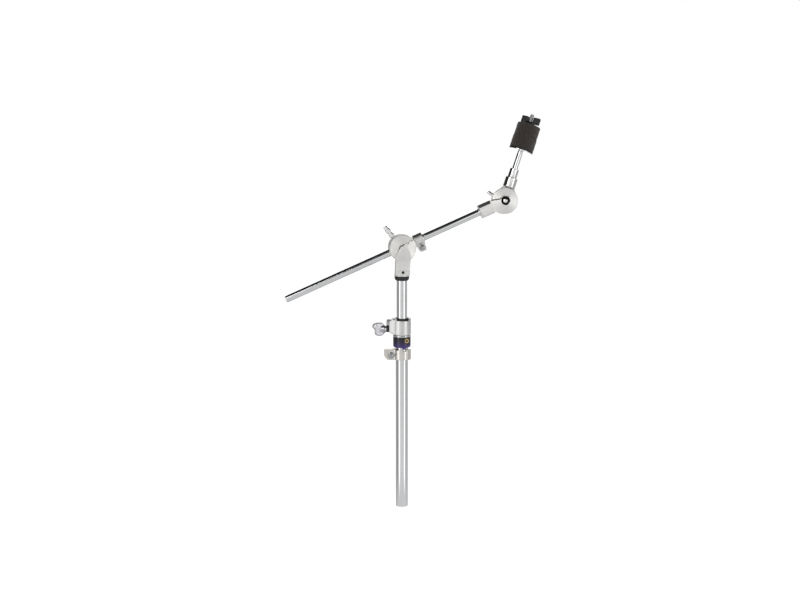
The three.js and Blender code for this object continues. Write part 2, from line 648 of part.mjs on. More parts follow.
function addTilter(roll) {
  const tilter = new THREE.Group();
  tilter.position.x = TILTER_X;
  roll.add(tilter);
  addPiece(tilter, 'tilter_socket', tilterSocket(), satin);
  const { x, radius, halfLength } = SOCKET_PIN;
  addPiece(tilter, 'socket_pin', pin(radius, -halfLength, halfLength).translate(x, 0, 0), steel);
  const liner = ring(4.6, 20, FRONT_DISC.back + GAP, REAR_DISC.front - GAP);
  addPiece(tilter, 'tilter_liner', alongY(liner), fibre);
  addPiece(tilter, 'tilter_pivot_bolt', tilterPivotBolt(), steel);
  const washer = ring(PIVOT_BOLT.shank + GAP, 8.5, REAR_DISC.back + GAP, REAR_DISC.back + 1.8, SMALL_SIDES);
  addPiece(tilter, 'tilter_washer', alongY(washer), steel);
  const nut = wingNut({ ...TILTER_NUT, bore: PIVOT_BOLT.shank + GAP });
  addPiece(tilter, 'tilter_wing_nut', alongY(nut).rotateY(-121.5 * degrees), chrome);
  addPost(addTilterBody(tilter));
}

// ---------- cymbal post ----------

function cymbalPost() {
  const { foot, shank, shoulder, thread, tip } = POST;
  return turned([
    [0, foot], [shank, foot], [shank, shoulder], [thread, shoulder],
    [thread, tip - 1.2], [thread - 1.2, tip], [0, tip],
  ], 24);
}

function felt({ bottom, top, radius }, bottomEdge, topEdge) {
  const bore = POST_SLEEVE.radius + GAP;
  return turned([
    [bore, bottom], [radius - bottomEdge, bottom], [radius, bottom + bottomEdge],
    [radius - 0.2, top - topEdge], [radius - 0.2 - topEdge, top], [bore, top], [bore, bottom],
  ], 40);
}

function addPost(holder) {
  const post = new THREE.Group();
  post.position.y = POST.axisY;
  holder.add(post);
  const clear = POST.shank + GAP;
  const threadClear = POST.thread + GAP;
  const sleeveNut = ({ radius, bottom, top }) => softRing(clear, radius, bottom, top, 0.8);
  addPiece(post, 'post_collar', sleeveNut(POST_COLLAR), chrome);
  addPiece(post, 'post_lock_nut', sleeveNut(POST_NUT), chrome);
  addPiece(post, 'cymbal_post', cymbalPost(), chrome);
  const discAround = ({ radius, bottom, top }) => ring(threadClear, radius, bottom, top);
  addPiece(post, 'seat_washer', discAround(SEAT_WASHER), chrome);
  addPiece(post, 'seat_cup', discAround(SEAT_CUP), blackPlastic);
  const sleeve = ring(threadClear, POST_SLEEVE.radius, SEAT_CUP.top + GAP, POST_SLEEVE.top, 24);
  addPiece(post, 'post_sleeve', sleeve, whiteNylon);
  addPiece(post, 'lower_felt', felt(LOWER_FELT, 0.8, 0.8), darkFelt);
  addPiece(post, 'upper_felt', felt(UPPER_FELT, 0.8, 1.6), darkFelt);
  addPiece(post, 'nut_washer', discAround(NUT_WASHER), steel);
  const from = NUT_WASHER.top + GAP;
  const nut = wingNut({ ...CYMBAL_NUT, bore: threadClear, from, wingFrom: from + 0.9 });
  addPiece(post, 'cymbal_wing_nut', nut.rotateZ(-35 * degrees), chrome);
}

// ---------- the stand ----------

const stand = new THREE.Group();
addLowerStand(stand);
addBracket(stand);

const tilt = new THREE.Group();
tilt.position.z = HOLDER_Z;
tilt.rotation.y = -BOOM_ANGLE * degrees;
stand.add(tilt);
addHub(tilt);
addBoomLock(tilt);

const roll = new THREE.Group();
roll.position.y = ROD.axisY;
roll.rotation.x = -BOOM_ROLL * degrees;
tilt.add(roll);
addPiece(roll, 'boom_rod', boomRodWithPinHole(), chrome);
const endCap = turned([
  [0, ROD.left], [ROD.radius - 2.2, ROD.left], [ROD.radius - 0.2, ROD.left + 0.9], [0, ROD.left + 0.9],
], ROD_SIDES);
addPiece(roll, 'boom_end_cap', alongX(endCap), chrome);
addTilter(roll);

export default stand;
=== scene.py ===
import math

import bmesh
import bpy
import numpy as np
from mathutils import Matrix, Vector


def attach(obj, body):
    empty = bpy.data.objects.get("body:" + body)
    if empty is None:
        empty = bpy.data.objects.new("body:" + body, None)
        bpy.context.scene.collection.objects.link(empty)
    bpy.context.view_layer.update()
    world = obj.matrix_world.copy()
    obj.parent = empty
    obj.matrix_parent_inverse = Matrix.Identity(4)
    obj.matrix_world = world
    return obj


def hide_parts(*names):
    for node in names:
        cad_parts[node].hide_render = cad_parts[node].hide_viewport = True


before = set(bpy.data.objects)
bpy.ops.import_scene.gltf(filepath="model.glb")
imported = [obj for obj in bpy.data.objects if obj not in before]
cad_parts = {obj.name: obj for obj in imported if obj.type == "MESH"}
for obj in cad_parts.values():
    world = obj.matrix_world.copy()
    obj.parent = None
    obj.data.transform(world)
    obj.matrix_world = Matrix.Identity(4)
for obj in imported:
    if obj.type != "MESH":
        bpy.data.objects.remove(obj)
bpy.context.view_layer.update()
RNG = np.random.default_rng(7)

# ---------- dimensions, millimetres ----------

MM = 0.001
ROUND = 96                    # segments of the large turned pieces
TURN = math.tau

CLAMP_Z, CLAMP_TURN = 325.5, 12
HOLDER_Z = 469
BOOM_ANGLE, BOOM_ROLL = 23.5, 8
ROD_Y, ROD_R = 2, 6.35
TILTER_X = 200.6
POST_TURN, POST_Y = 42.7, 3
DISC_R = 23.7


# ---------- group frames, metres ----------

def shift(x, y, z):
    return Matrix.Translation((x * MM, y * MM, z * MM))


def turn(degrees, axis):
    return Matrix.Rotation(math.radians(degrees), 4, axis)


STAND = Matrix.Identity(4)
CLAMP = shift(0, 0, CLAMP_Z) @ turn(CLAMP_TURN, "Z")
HOLDER = shift(0, 0, HOLDER_Z)
TILT = HOLDER @ turn(-BOOM_ANGLE, "Y")
ROD = TILT @ shift(0, ROD_Y, 0)
ROLL = ROD @ turn(-BOOM_ROLL, "X")
TILTER = ROLL @ shift(TILTER_X, 0, 0)
HEAD = TILTER @ turn(POST_TURN, "Y")
POST = HEAD @ shift(0, POST_Y, 0)


# ---------- pieces ----------

def place(name, mesh, where, body, finish, node):
    """Adds a mesh drawn in millimetres in a group frame, and ties it to the CAD."""
    slot, material = finish
    mesh.transform(Matrix.Scale(MM, 4))
    mesh.materials.clear()
    mesh.materials.append(material)
    piece = bpy.data.objects.new(name, mesh)
    bpy.context.scene.collection.objects.link(piece)
    piece.matrix_world = where
    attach(piece, body)
    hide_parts(node)
    return piece


def mesh_of(vertices, faces, crease=40):
    """A mesh with consistent normals, smooth but for its creases."""
    mesh = bpy.data.meshes.new("piece")
    mesh.from_pydata([tuple(v) for v in vertices], [], [tuple(f) for f in faces])
    work = bmesh.new()
    work.from_mesh(mesh)
    bmesh.ops.remove_doubles(work, verts=work.verts, dist=1e-4)
    bmesh.ops.recalc_face_normals(work, faces=work.faces)
    for face in work.faces:
        face.smooth = True
    limit = math.radians(crease)
    for edge in work.edges:
        if len(edge.link_faces) == 2:
            edge.smooth = edge.calc_face_angle(0) < limit
    work.to_mesh(mesh)
    work.free()
    return mesh


def joined(*meshes):
    """Several meshes as the shells of one piece."""
    work = bmesh.new()
    for mesh in meshes:
        work.from_mesh(mesh)
    mesh = bpy.data.meshes.new("piece")
    work.to_mesh(mesh)
    work.free()
    return mesh


# ---------- turned pieces ----------

def softened(points, radius, steps=4, closed=True):
    """A profile whose corners are rounded; a point may carry its own radius as a third value."""
    count = len(points)
    result = []
    for i, point in enumerate(points):
        here = np.array(point[:2], float)
        reach = point[2] if len(point) > 2 else radius
        at_end = not closed and i in (0, count - 1)
        if at_end or reach <= 0:
            result.append(tuple(here))
            continue
        before = np.array(points[i - 1][:2], float) - here
        after = np.array(points[(i + 1) % count][:2], float) - here
        lengths = np.hypot(*before), np.hypot(*after)
        before, after = before / lengths[0], after / lengths[1]
        cosine = float(np.clip(before @ after, -1, 1))
        half = math.acos(cosine) / 2
        if half > math.radians(88):
            result.append(tuple(here))
            continue
        cut = min(reach / math.tan(half), 0.48 * min(lengths))
        start, end = here + before * cut, here + after * cut
        for k in range(steps + 1):
            t = k / steps
            result.append(tuple((1 - t) ** 2 * start + 2 * t * (1 - t) * here + t * t * end))
    return result


def spun(profile, axis="Z", segments=ROUND, closed=True, crease=40, wobble=None):
    """A body of revolution from [radius, height] points, as a ring or from axis to axis."""
    profile = [(max(r, 0.0), h) for r, h in profile]
    rows = []
    vertices = []
    for r, h in profile:
        row = []
        sides = 1 if r < 1e-6 else segments
        for k in range(sides):
            angle = TURN * k / segments
            rr, hh = (r, h) if wobble is None or sides == 1 else wobble(r, h, angle)
            across, along = rr * math.cos(angle), rr * math.sin(angle)
            row.append(len(vertices))
            vertices.append({"Z": (across, along, hh), "X": (hh, across, along),
                             "Y": (along, hh, across)}[axis])
        rows.append(row)
    faces = []
    pairs = list(zip(rows, rows[1:])) + ([(rows[-1], rows[0])] if closed else [])
    for low, high in pairs:
        for k in range(segments):
            a, b = low[k % len(low)], low[(k + 1) % len(low)]
            c, d = high[(k + 1) % len(high)], high[k % len(high)]
            face = [v for i, v in enumerate((a, b, c, d)) if v not in (a, b, c, d)[:i]]
            if len(face) > 2:
                faces.append(face)
    return mesh_of(vertices, faces, crease)


def solid(points, radius, axis="Z", segments=ROUND):
    """A turned body without a bore; its outline runs from axis to axis."""
    return spun(softened(points, radius, closed=False), axis, segments, closed=False)


def spun_ring(bore, radius, low, high, edge=0.3, axis="Z", segments=ROUND):
    points = [(bore, low), (radius, low), (radius, high), (bore, high)]
    return spun(softened(points, edge), axis, segments)


def threaded(radius, low, high, pitch, depth, axis="Z", segments=48, tip=1.0, per_turn=8):
    """A screw thread with a chamfered tip at its high end."""
    steps = int((high - low) / pitch * per_turn)
    heights = [low + (high - low) * k / steps for k in range(steps + 1)]
    end = high + 1e-3
    profile = [(0, low), *[(radius, h) for h in heights], (radius - tip * 0.9, end), (0, end)]

    def wobble(r, h, angle):
        phase = (h / pitch - angle / TURN) % 1.0
        groove = depth * (1 - abs(2 * phase - 1)) ** 0.8
        chamfer = max(0.0, h - (high - tip)) * 0.9
        return min(r - groove, radius - chamfer), h

    return spun(profile, axis, segments, closed=False, crease=60, wobble=wobble)


# ---------- cast pieces: distance fields turned into smooth meshes ----------

AXES = {"X": (0, 1, 2), "Y": (1, 2, 0), "Z": (2, 0, 1)}


def blend_min(a, b, k):
    h = np.clip(0.5 + 0.5 * (b - a) / k, 0, 1)
    return b * (1 - h) + a * h - k * h * (1 - h)


def blend_max(a, b, k):
    return -blend_min(-a, -b, k)


def union(k, *fields):
    def field(p):
        value = fields[0](p)
        for other in fields[1:]:
            value = blend_min(value, other(p), k)
        return value
    return field


def minus(k, body, *tools):
    def field(p):
        value = body(p)
        for tool in tools:
            value = blend_max(value, -tool(p), k)
        return value
    return field


def common(k, *fields):
    def field(p):
        value = fields[0](p)
        for other in fields[1:]:
            value = blend_max(value, other(p), k)
        return value
    return field


def rod_field(axis, radius, low, high, centre=(0, 0), k=0.4):
    """A cylinder; centre is its place on the two other axes, in cyclic order."""
    along, first, second = AXES[axis]

    def field(p):
        side = np.hypot(p[..., first] - centre[0], p[..., second] - centre[1]) - radius
        end = np.abs(p[..., along] - (low + high) / 2) - (high - low) / 2
        return blend_max(side, end, k)
    return field


def block_field(low, high, k=0.4):
    low, high = np.array(low, float), np.array(high, float)

    def field(p):
        d = np.abs(p - (low + high) / 2) - (high - low) / 2
        return blend_max(blend_max(d[..., 0], d[..., 1], k), d[..., 2], k)
    return field


def outline_distance(points, u, v):
    """Signed distance to a closed polygon in a plane."""
    points = np.array(points, float)
    nearest = np.full(u.shape, np.inf)
    inside = np.zeros(u.shape, bool)
    for (ax, ay), (bx, by) in zip(points, np.roll(points, -1, axis=0)):
        ex, ey = bx - ax, by - ay
        wx, wy = u - ax, v - ay
        t = np.clip((wx * ex + wy * ey) / (ex * ex + ey * ey + 1e-12), 0, 1)
        nearest = np.minimum(nearest, (wx - t * ex) ** 2 + (wy - t * ey) ** 2)
        if abs(ey) > 1e-12:
            crosses = ((ay > v) != (by > v)) & (u < ax + ex * (v - ay) / ey)
            inside ^= crosses
    return np.where(inside, -1, 1) * np.sqrt(nearest)


def plate_field(points, y_front, y_back, k=0.6, corner=0.0):
    """A plate outlined in XZ."""
    points = softened(points, corner, 4) if corner else points

    def field(p):
        side = outline_distance(points, p[..., 0], p[..., 2])
        end = np.abs(p[..., 1] - (y_front + y_back) / 2) - (y_back - y_front) / 2
        return blend_max(side, end, k)
    return field


def shell_field(field, thickness):
    """The layer just outside a field's surface."""
    return lambda p: np.abs(field(p) - thickness / 2) - thickness / 2


def lathe_field(axis, profile):
    """A turned body; the profile is a polygon of [radius, height]."""
    along, first, second = AXES[axis]
    mirrored = [(-r, h) for r, h in reversed(profile) if r > 1e-6]
    polygon = list(profile) + (mirrored if profile[0][0] < 1e-6 else [])

    def field(p):
        r = np.hypot(p[..., first], p[..., second])
        return outline_distance(polygon, r, p[..., along])
    return field


def below(normal, point):
    """The half space behind a plane."""
    normal = np.array(normal, float)
    normal /= np.linalg.norm(normal)
    offset = float(normal @ np.array(point, float))
    return lambda p: p @ normal - offset


def turned_field(field, degrees, axis):
    """The field turned about an axis through the origin."""
    c, s = math.cos(math.radians(degrees)), math.sin(math.radians(degrees))
    along, first, second = AXES[axis]

    def result(p):
        q = np.empty_like(p)
        q[..., along] = p[..., along]
        q[..., first] = c * p[..., first] + s * p[..., second]
        q[..., second] = -s * p[..., first] + c * p[..., second]
        return field(q)
    return result


def carved(field, low, high, step, crease=50):
    """The field's zero surface inside a box, as a mesh of quads pulled onto the surface."""
    step *= 1.0
    low, high = np.array(low, float) - 2.5 * step, np.array(high, float) + 2.5 * step
    counts = np.ceil((high - low) / step).astype(int) + 1
    ticks = [low[i] + step * np.arange(counts[i]) for i in range(3)]
    grid = np.stack(np.meshgrid(*ticks, indexing="ij"), axis=-1)
    values = field(grid)
    solid = values < 0
    cells = counts - 1
    total = np.zeros(tuple(cells) + (3,))
    hits = np.zeros(tuple(cells))
    for axis in range(3):
        low_cut = [slice(None)] * 3
        high_cut = [slice(None)] * 3
        low_cut[axis], high_cut[axis] = slice(0, -1), slice(1, None)
        a, b = values[tuple(low_cut)], values[tuple(high_cut)]
        crossing = (a < 0) != (b < 0)
        t = np.where(crossing, a / np.where(crossing, a - b, 1), 0)
        point = grid[tuple(low_cut)].copy()
        point[..., axis] += t * step
        weight = crossing.astype(float)
        others = [i for i in range(3) if i != axis]
        for du in (0, 1):
            for dv in (0, 1):
                cut = [slice(None)] * 3
                for other, d in zip(others, (du, dv)):
                    cut[other] = slice(d, cells[other] + d)
                total += point[tuple(cut)] * weight[tuple(cut)][..., None]
                hits += weight[tuple(cut)]
    used = hits > 0
    number = np.full(hits.shape, -1)
    number[used] = np.arange(used.sum())
    points = total[used] / hits[used][:, None]
    faces = []
    for axis in range(3):
        u, v = (axis + 1) % 3, (axis + 2) % 3
        cut_a = [slice(1, -1)] * 3
        cut_b = [slice(1, -1)] * 3
        cut_a[axis], cut_b[axis] = slice(0, -1), slice(1, None)
        a, b = solid[tuple(cut_a)], solid[tuple(cut_b)]
        for state, order in (((a & ~b), 1), ((~a & b), -1)):
            index = np.argwhere(state)
            if not len(index):
                continue
            index[:, u] += 1
            index[:, v] += 1
            corners = []
            for du, dv in ((0, 0), (-1, 0), (-1, -1), (0, -1)):
                at = index.copy()
                at[:, u] += du
                at[:, v] += dv
                corners.append(number[at[:, 0], at[:, 1], at[:, 2]])
            quads = np.stack(corners[::order], axis=1)
            faces.append(quads)
    faces = np.concatenate(faces)
    nudge = 0.05 * step
    for _ in range(4):
        distance = field(points)
        slope = np.empty_like(points)
        for i in range(3):
            side = np.zeros(3)
            side[i] = nudge
            slope[:, i] = (field(points + side) - field(points - side)) / (2 * nudge)
        length = np.maximum(np.sum(slope * slope, axis=1), 0.25)
        pull = np.clip(distance, -0.7 * step, 0.7 * step)
        points = points - slope * (pull / length)[:, None]
    return mesh_of(points, faces, crease)


# ---------- material nodes ----------

class Nodes:
    """A node tree, with short ways to add what the finishes and the room need."""

    def __init__(self, owner):
        owner.use_nodes = True
        self.owner = owner
        self.tree = owner.node_tree
        self.shader = self.tree.nodes.get("Principled BSDF")
        self.place = self.new("ShaderNodeTexCoord").outputs["Object"]

    def new(self, kind, **settings):
        node = self.tree.nodes.new(kind)
        for key, value in settings.items():
            setattr(node, key, value)
        return node

    def link(self, source, target):
        self.tree.links.new(source, target)

    def parts(self, vector):
        """The X, Y and Z of a vector."""
        node = self.new("ShaderNodeSeparateXYZ")
        self.link(vector, node.inputs[0])
        return node.outputs

    def stretched(self, x, y, z):
        """Object coordinates, in metres, scaled on each axis."""
        node = self.new("ShaderNodeMapping")
        node.inputs["Scale"].default_value = (x, y, z)
        self.link(self.place, node.inputs["Vector"])
        return node.outputs["Vector"]

    def noise(self, scale, detail=3, roughness=0.55, at=None):
        node = self.new("ShaderNodeTexNoise")
        node.inputs["Scale"].default_value = scale
        node.inputs["Detail"].default_value = detail
        node.inputs["Roughness"].default_value = roughness
        self.link(at or self.place, node.inputs["Vector"])
        return node.outputs["Fac"]

    def ramp(self, value, *stops):
        node = self.new("ShaderNodeValToRGB")
        ramp = node.color_ramp
        while len(ramp.elements) < len(stops):
            ramp.elements.new(0.5)
        for element, (position, color) in zip(ramp.elements, stops):
            element.position = position
            element.color = (color, color, color, 1) if isinstance(color, (int, float)) else (*color, 1)
        self.link(value, node.inputs["Fac"])
        return node.outputs["Color"]

    def combined(self, node, values):
        """A math node's first output, with numbers or links as its inputs."""
        for socket, value in zip(node.inputs, values):
            if isinstance(value, (int, float)):
                socket.default_value = value
            else:
                self.link(value, socket)
        return node.outputs[0]

    def math(self, operation, *values):
        return self.combined(self.new("ShaderNodeMath", operation=operation), values)

    def vector(self, operation, *values):
        return self.combined(self.new("ShaderNodeVectorMath", operation=operation), values)

    def bump(self, height, distance, strength=1.0):
        node = self.new("ShaderNodeBump")
        node.inputs["Strength"].default_value = strength
        node.inputs["Distance"].default_value = distance
        self.link(height, node.inputs["Height"])
        previous = self.shader.inputs["Normal"]
        if previous.is_linked:
            self.link(previous.links[0].from_socket, node.inputs["Normal"])
        self.link(node.outputs["Normal"], previous)

    def set(self, **values):
        names = {"color": "Base Color", "metal": "Metallic", "rough": "Roughness", "coat": "Coat Weight",
                 "coat_rough": "Coat Roughness", "sheen": "Sheen Weight", "sheen_rough": "Sheen Roughness",
                 "grain": "Anisotropic", "specular": "Specular IOR Level"}
        for key, value in values.items():
            socket = self.shader.inputs[names[key]]
            if hasattr(value, "links"):
                self.link(value, socket)
            elif isinstance(value, tuple):
                socket.default_value = (*value, 1)
            else:
                socket.default_value = value


def finish_nodes(name):
    return Nodes(bpy.data.materials.new(name))


def chrome_finish(name, color, rough=(0.03, 0.09)):
    """Polished plating with faint smears and fine wiping scratches."""
    nodes = finish_nodes(name)
    smears = nodes.noise(90, 4, 0.6)
    scratches = nodes.noise(1.0, 2, 0.5, nodes.stretched(5200, 5200, 160))
    mixed = nodes.math("MULTIPLY_ADD", scratches, 0.35, smears)
    nodes.set(metal=1.0, color=nodes.ramp(smears, (0.3, tuple(0.94 * c for c in color)), (0.7, color)),
              rough=nodes.ramp(mixed, (0.42, rough[0]), (0.95, rough[1])))
    nodes.bump(scratches, 0.0000015)
    return nodes.owner


def cast_finish(name, color, rough, peel=0.00002, scale=900):
    """Plating over a die casting: a little orange peel and uneven polish."""
    nodes = finish_nodes(name)
    polish = nodes.noise(120, 5, 0.6)
    peels = nodes.noise(scale, 3, 0.5)
    nodes.set(metal=1.0, color=nodes.ramp(polish, (0.25, tuple(0.9 * c for c in color)), (0.75, color)),
              rough=nodes.ramp(polish, (0.3, rough[0]), (0.72, rough[1])))
    nodes.bump(peels, peel)
    return nodes.owner


def brushed_finish(name, color, rough, recess=0.0):
    """Satin plating with fine concentric turning marks about the piece's Y axis, and painted shade inside a
    recess.
    """
    nodes = finish_nodes(name)
    place = nodes.parts(nodes.place)
    squares = [nodes.math("MULTIPLY", place[axis], place[axis]) for axis in "XZ"]
    radius = nodes.math("SQRT", nodes.math("ADD", *squares))
    rings = nodes.new("ShaderNodeTexNoise", noise_dimensions="1D")
    rings.inputs["Scale"].default_value = 3800
    rings.inputs["Detail"].default_value = 4
    nodes.link(radius, rings.inputs["W"])
    polish = nodes.noise(140, 4, 0.6)
    shade = nodes.ramp(polish, (0.25, tuple(0.92 * c for c in color)), (0.75, color))
    # Painted shade: inside the recess radius the colour drops almost to black, standing in for the shadow in
    # the recess.
    if recess:
        edge = recess * 50
        recess_shade = nodes.ramp(nodes.math("MULTIPLY", radius, 50), (edge - 0.008, 0.015), (edge, 1.0))
        shade = nodes.vector("MULTIPLY", shade, recess_shade)
    grain = nodes.ramp(nodes.math("MULTIPLY", radius, 20), (0.475, 0.7), (0.49, 0.0))
    nodes.set(metal=1.0, grain=grain, color=shade,
              rough=nodes.ramp(polish, (0.3, rough[0]), (0.72, rough[1])))
    outward = nodes.new("ShaderNodeCombineXYZ")
    for axis in "XZ":
        nodes.link(place[axis], outward.inputs[axis])
    spread = nodes.new("ShaderNodeVectorTransform", vector_type="VECTOR", convert_from="OBJECT",
                       convert_to="WORLD")
    nodes.link(outward.outputs["Vector"], spread.inputs["Vector"])
    nodes.link(spread.outputs["Vector"], nodes.shader.inputs["Tangent"])
    nodes.bump(rings.outputs["Fac"], 0.00004)
    nodes.bump(nodes.noise(900, 2, 0.5), 0.00001)
    return nodes.owner


def collar_finish(name):
    """Moulded nylon, violet where the light gets through at the foot and black above."""
    nodes = finish_nodes(name)
    marks = nodes.noise(160, 5, 0.65)
    # Painted light: the colour turns violet towards the foot for light coming through the nylon, black
    # above; the marks add random tone.
    height = nodes.math("MULTIPLY", nodes.math("SUBTRACT", nodes.parts(nodes.place)["Z"], 0.2905), 50)
    marks_and_glow = nodes.math("MULTIPLY_ADD", marks, 0.12, height)
    nodes.set(metal=0.0, coat=0.25, coat_rough=0.15, rough=nodes.ramp(marks, (0.3, 0.22), (0.75, 0.36)),
              color=nodes.ramp(marks_and_glow, (0.15, (0.060, 0.030, 0.20)), (0.5, (0.022, 0.013, 0.070)),
                               (0.85, (0.006, 0.005, 0.010))))
    nodes.bump(nodes.noise(2600, 2, 0.5), 0.00002)
    return nodes.owner


def plastic_finish(name, dark, light, rough, coat=0.0):
    """Moulded nylon: a soft sheen, fine grain and handling marks."""
    nodes = finish_nodes(name)
    marks = nodes.noise(160, 5, 0.65)
    nodes.set(metal=0.0, color=nodes.ramp(marks, (0.3, dark), (0.7, light)),
              rough=nodes.ramp(marks, (0.3, rough[0]), (0.75, rough[1])), coat=coat, coat_rough=0.12)
    nodes.bump(nodes.noise(2600, 2, 0.5), 0.00002)
    return nodes.owner


def felt_finish(name):
    """Pressed wool: mottled fibres of several browns with a soft sheen."""
    nodes = finish_nodes(name)
    mottle = nodes.noise(420, 6, 0.7)
    fibres = nodes.noise(1.0, 4, 0.7, nodes.stretched(3200, 3200, 1300))
    both = nodes.math("MULTIPLY_ADD", mottle, 0.6, nodes.math("MULTIPLY", fibres, 0.4))
    nodes.set(metal=0.0, rough=0.96, specular=0.15, sheen=0.35, sheen_rough=0.6,
              color=nodes.ramp(both, (0.3, (0.018, 0.013, 0.010)), (0.55, (0.040, 0.030, 0.024)),
                               (0.8, (0.090, 0.070, 0.057))))
    nodes.bump(fibres, 0.00035)
    nodes.bump(mottle, 0.0006)
    return nodes.owner


CHROME = "tube_chrome", chrome_finish("tube chrome", (0.86, 0.87, 0.88))
ROD_CHROME = "rod_chrome", chrome_finish("rod chrome", (0.80, 0.81, 0.82), (0.08, 0.16))
POST_CHROME = "post_chrome", chrome_finish("post chrome", (0.82, 0.83, 0.84), (0.06, 0.14))
WING_CHROME = "wing_chrome", cast_finish("wing chrome", (0.82, 0.82, 0.81), (0.10, 0.2))
WING_SATIN = "wing_chrome", cast_finish("worn wing chrome", (0.56, 0.56, 0.59), (0.16, 0.3), 0.0003, 330)
WING_DARK = "wing_chrome", cast_finish("darkened wing chrome", (0.045, 0.045, 0.048), (0.28, 0.42))
ZINC = "lock_zinc", cast_finish("warm plated casting", (0.84, 0.81, 0.76), (0.26, 0.38))
SATIN = "satin_casting", cast_finish("satin casting", (0.80, 0.80, 0.79), (0.34, 0.44))
LOCK_SATIN = "lock_zinc", SATIN[1]
BRUSHED = "satin_casting", brushed_finish("brushed casting", (0.92, 0.912, 0.89), (0.36, 0.46))
# The brushed casting with painted shade darkening the bolt recess, for the tilter socket.
SHADED_RECESS = "satin_casting", brushed_finish("brushed casting with painted shade in the recess", (0.92, 0.912, 0.89),
                                           (0.36, 0.46), 0.0080)
TURNED = "post_chrome", chrome_finish("satin turned steel", (0.76, 0.76, 0.75), (0.16, 0.24))
POLISHED = "bolt_steel", chrome_finish("polished bolt head", (0.86, 0.86, 0.85), (0.10, 0.18))
STEEL = "bolt_steel", cast_finish("bright zinc steel", (0.52, 0.53, 0.54), (0.18, 0.32), 0.00001, 1500)
DARK_STEEL = "black_screw", cast_finish("blackened steel", (0.05, 0.05, 0.052), (0.3, 0.5), 0.00001, 1500)
BLACK = "black_nylon", plastic_finish("black nylon", (0.010, 0.010, 0.011), (0.017, 0.017, 0.019),
                                      (0.32, 0.5))
INDIGO = "indigo_nylon", collar_finish("indigo nylon")
NATURAL = "natural_nylon", plastic_finish("natural nylon", (0.66, 0.64, 0.58), (0.74, 0.72, 0.67),
                                          (0.4, 0.55))
GOLD = "gold_trim", cast_finish("gold ring", (0.80, 0.58, 0.28), (0.16, 0.3), 0.00001, 1500)
FELT = "felt", felt_finish("wool felt")
FIBRE = "liner_fibre", plastic_finish("friction fibre", (0.13, 0.08, 0.05), (0.24, 0.16, 0.11), (0.7, 0.85))


# ---------- stand tube, memory lock and height clamp ----------

def lower_tube():
    mesh = spun(softened([(9.9, 0), (11.1, 0), (11.1, 318.6), (9.9, 318.6)], 0.35), segments=144)
    place("lower_tube_tube", mesh, STAND, "lower_stand", CHROME, "lower_tube")


def tube_lock():
    low, high = 269.4, 288.1
    middle = (low + high) / 2
    ring = rod_field("Z", 16.2, low, high, k=1.2)
    ears = plate_field([(-8, low), (-8, high), (-31.3, high, 3), (-31.3, low, 9)], -8, 8, 1.2, 1)
    bore = rod_field("Z", 11.4, low - 9, high + 9)
    slit = block_field((-45, -1, low - 9), (0, 1, high + 9))
    hole = rod_field("Y", 2.8, -20, 20, (middle - 1, -20.4))
    keyway = block_field((-1.6, -20, high - 2.6), (5.6, -8, high + 9), 0.8)
    angle = math.radians(25)
    seam = rod_field("Z", 0.8, low - 9, high + 9, (16.4 * math.sin(angle), -16.4 * math.cos(angle)))
    band = minus(0.5, union(2.0, ring, ears), bore, slit, hole, keyway, seam)
    mesh = carved(band, (-31.5, -16.4, low), (16.4, 16.4, high), 0.45)
    place("tube_lock_band_cast", mesh, STAND, "tube_lock", ZINC, "tube_lock_band")
    where = STAND @ shift(-20.4, 0, middle - 1)
    key_screw("tube_lock_screw_key", -14, -8.3, 14.8, 5.8, where, "tube_lock_key", "tube_lock_screw")
    hex_nut("tube_lock_nut_hex", 2.8, 5.4, 8.3, 12.2, where, "tube_lock_nut_body", "tube_lock_nut")


def key_screw(name, head, flange_back, tip, flange_radius, where, body, node):
    """A clamp screw with a square drum-key head and a bevelled flange."""
    side, shank_radius, reach = 2.8, 2.5, flange_radius
    square = block_field((-side, head, -side), (side, flange_back - 1, side), 0.9)
    dome = below((0, -1, 0), (0, head, 0))
    flange = lathe_field("Y", [(0, flange_back - 1.8), (reach - 1.5, flange_back - 1.8),
                               (reach, flange_back - 0.6), (reach, flange_back), (0, flange_back)])
    low, high = (-reach, head, -reach), (reach, flange_back, reach)
    head_mesh = carved(union(0.5, common(0.8, square, dome), flange), low, high, 0.3)
    shank = threaded(shank_radius, flange_back - 0.2, tip, 0.8, 0.35, "Y", tip=0.7)
    place(name, joined(head_mesh, shank), where, body, STEEL, node)


def hex_nut(name, bore, radius, low, high, where, body, node):
    flats = radius * math.cos(math.pi / 6)

    def sides(p):
        value = np.full(p.shape[:-1], -np.inf)
        for k in range(3):
            angle = math.radians(30 + 60 * k)
            reach = np.abs(p[..., 0] * math.cos(angle) + p[..., 2] * math.sin(angle)) - flats
            value = np.maximum(value, reach)
        end = np.abs(p[..., 1] - (low + high) / 2) - (high - low) / 2
        return blend_max(value, end, 0.3)

    chamfer = lathe_field("Y", [(0, low), (radius - 0.7, low), (radius, low + 0.5), (radius, high - 0.5),
                                (radius - 0.7, high), (0, high)])
    nut = minus(0.4, common(0.2, sides, chamfer), rod_field("Y", bore, low - 9, high + 9))
    mesh = carved(nut, (-radius, low, -radius), (radius, high, radius), 0.28)
    place(name, mesh, where, body, STEEL, node)


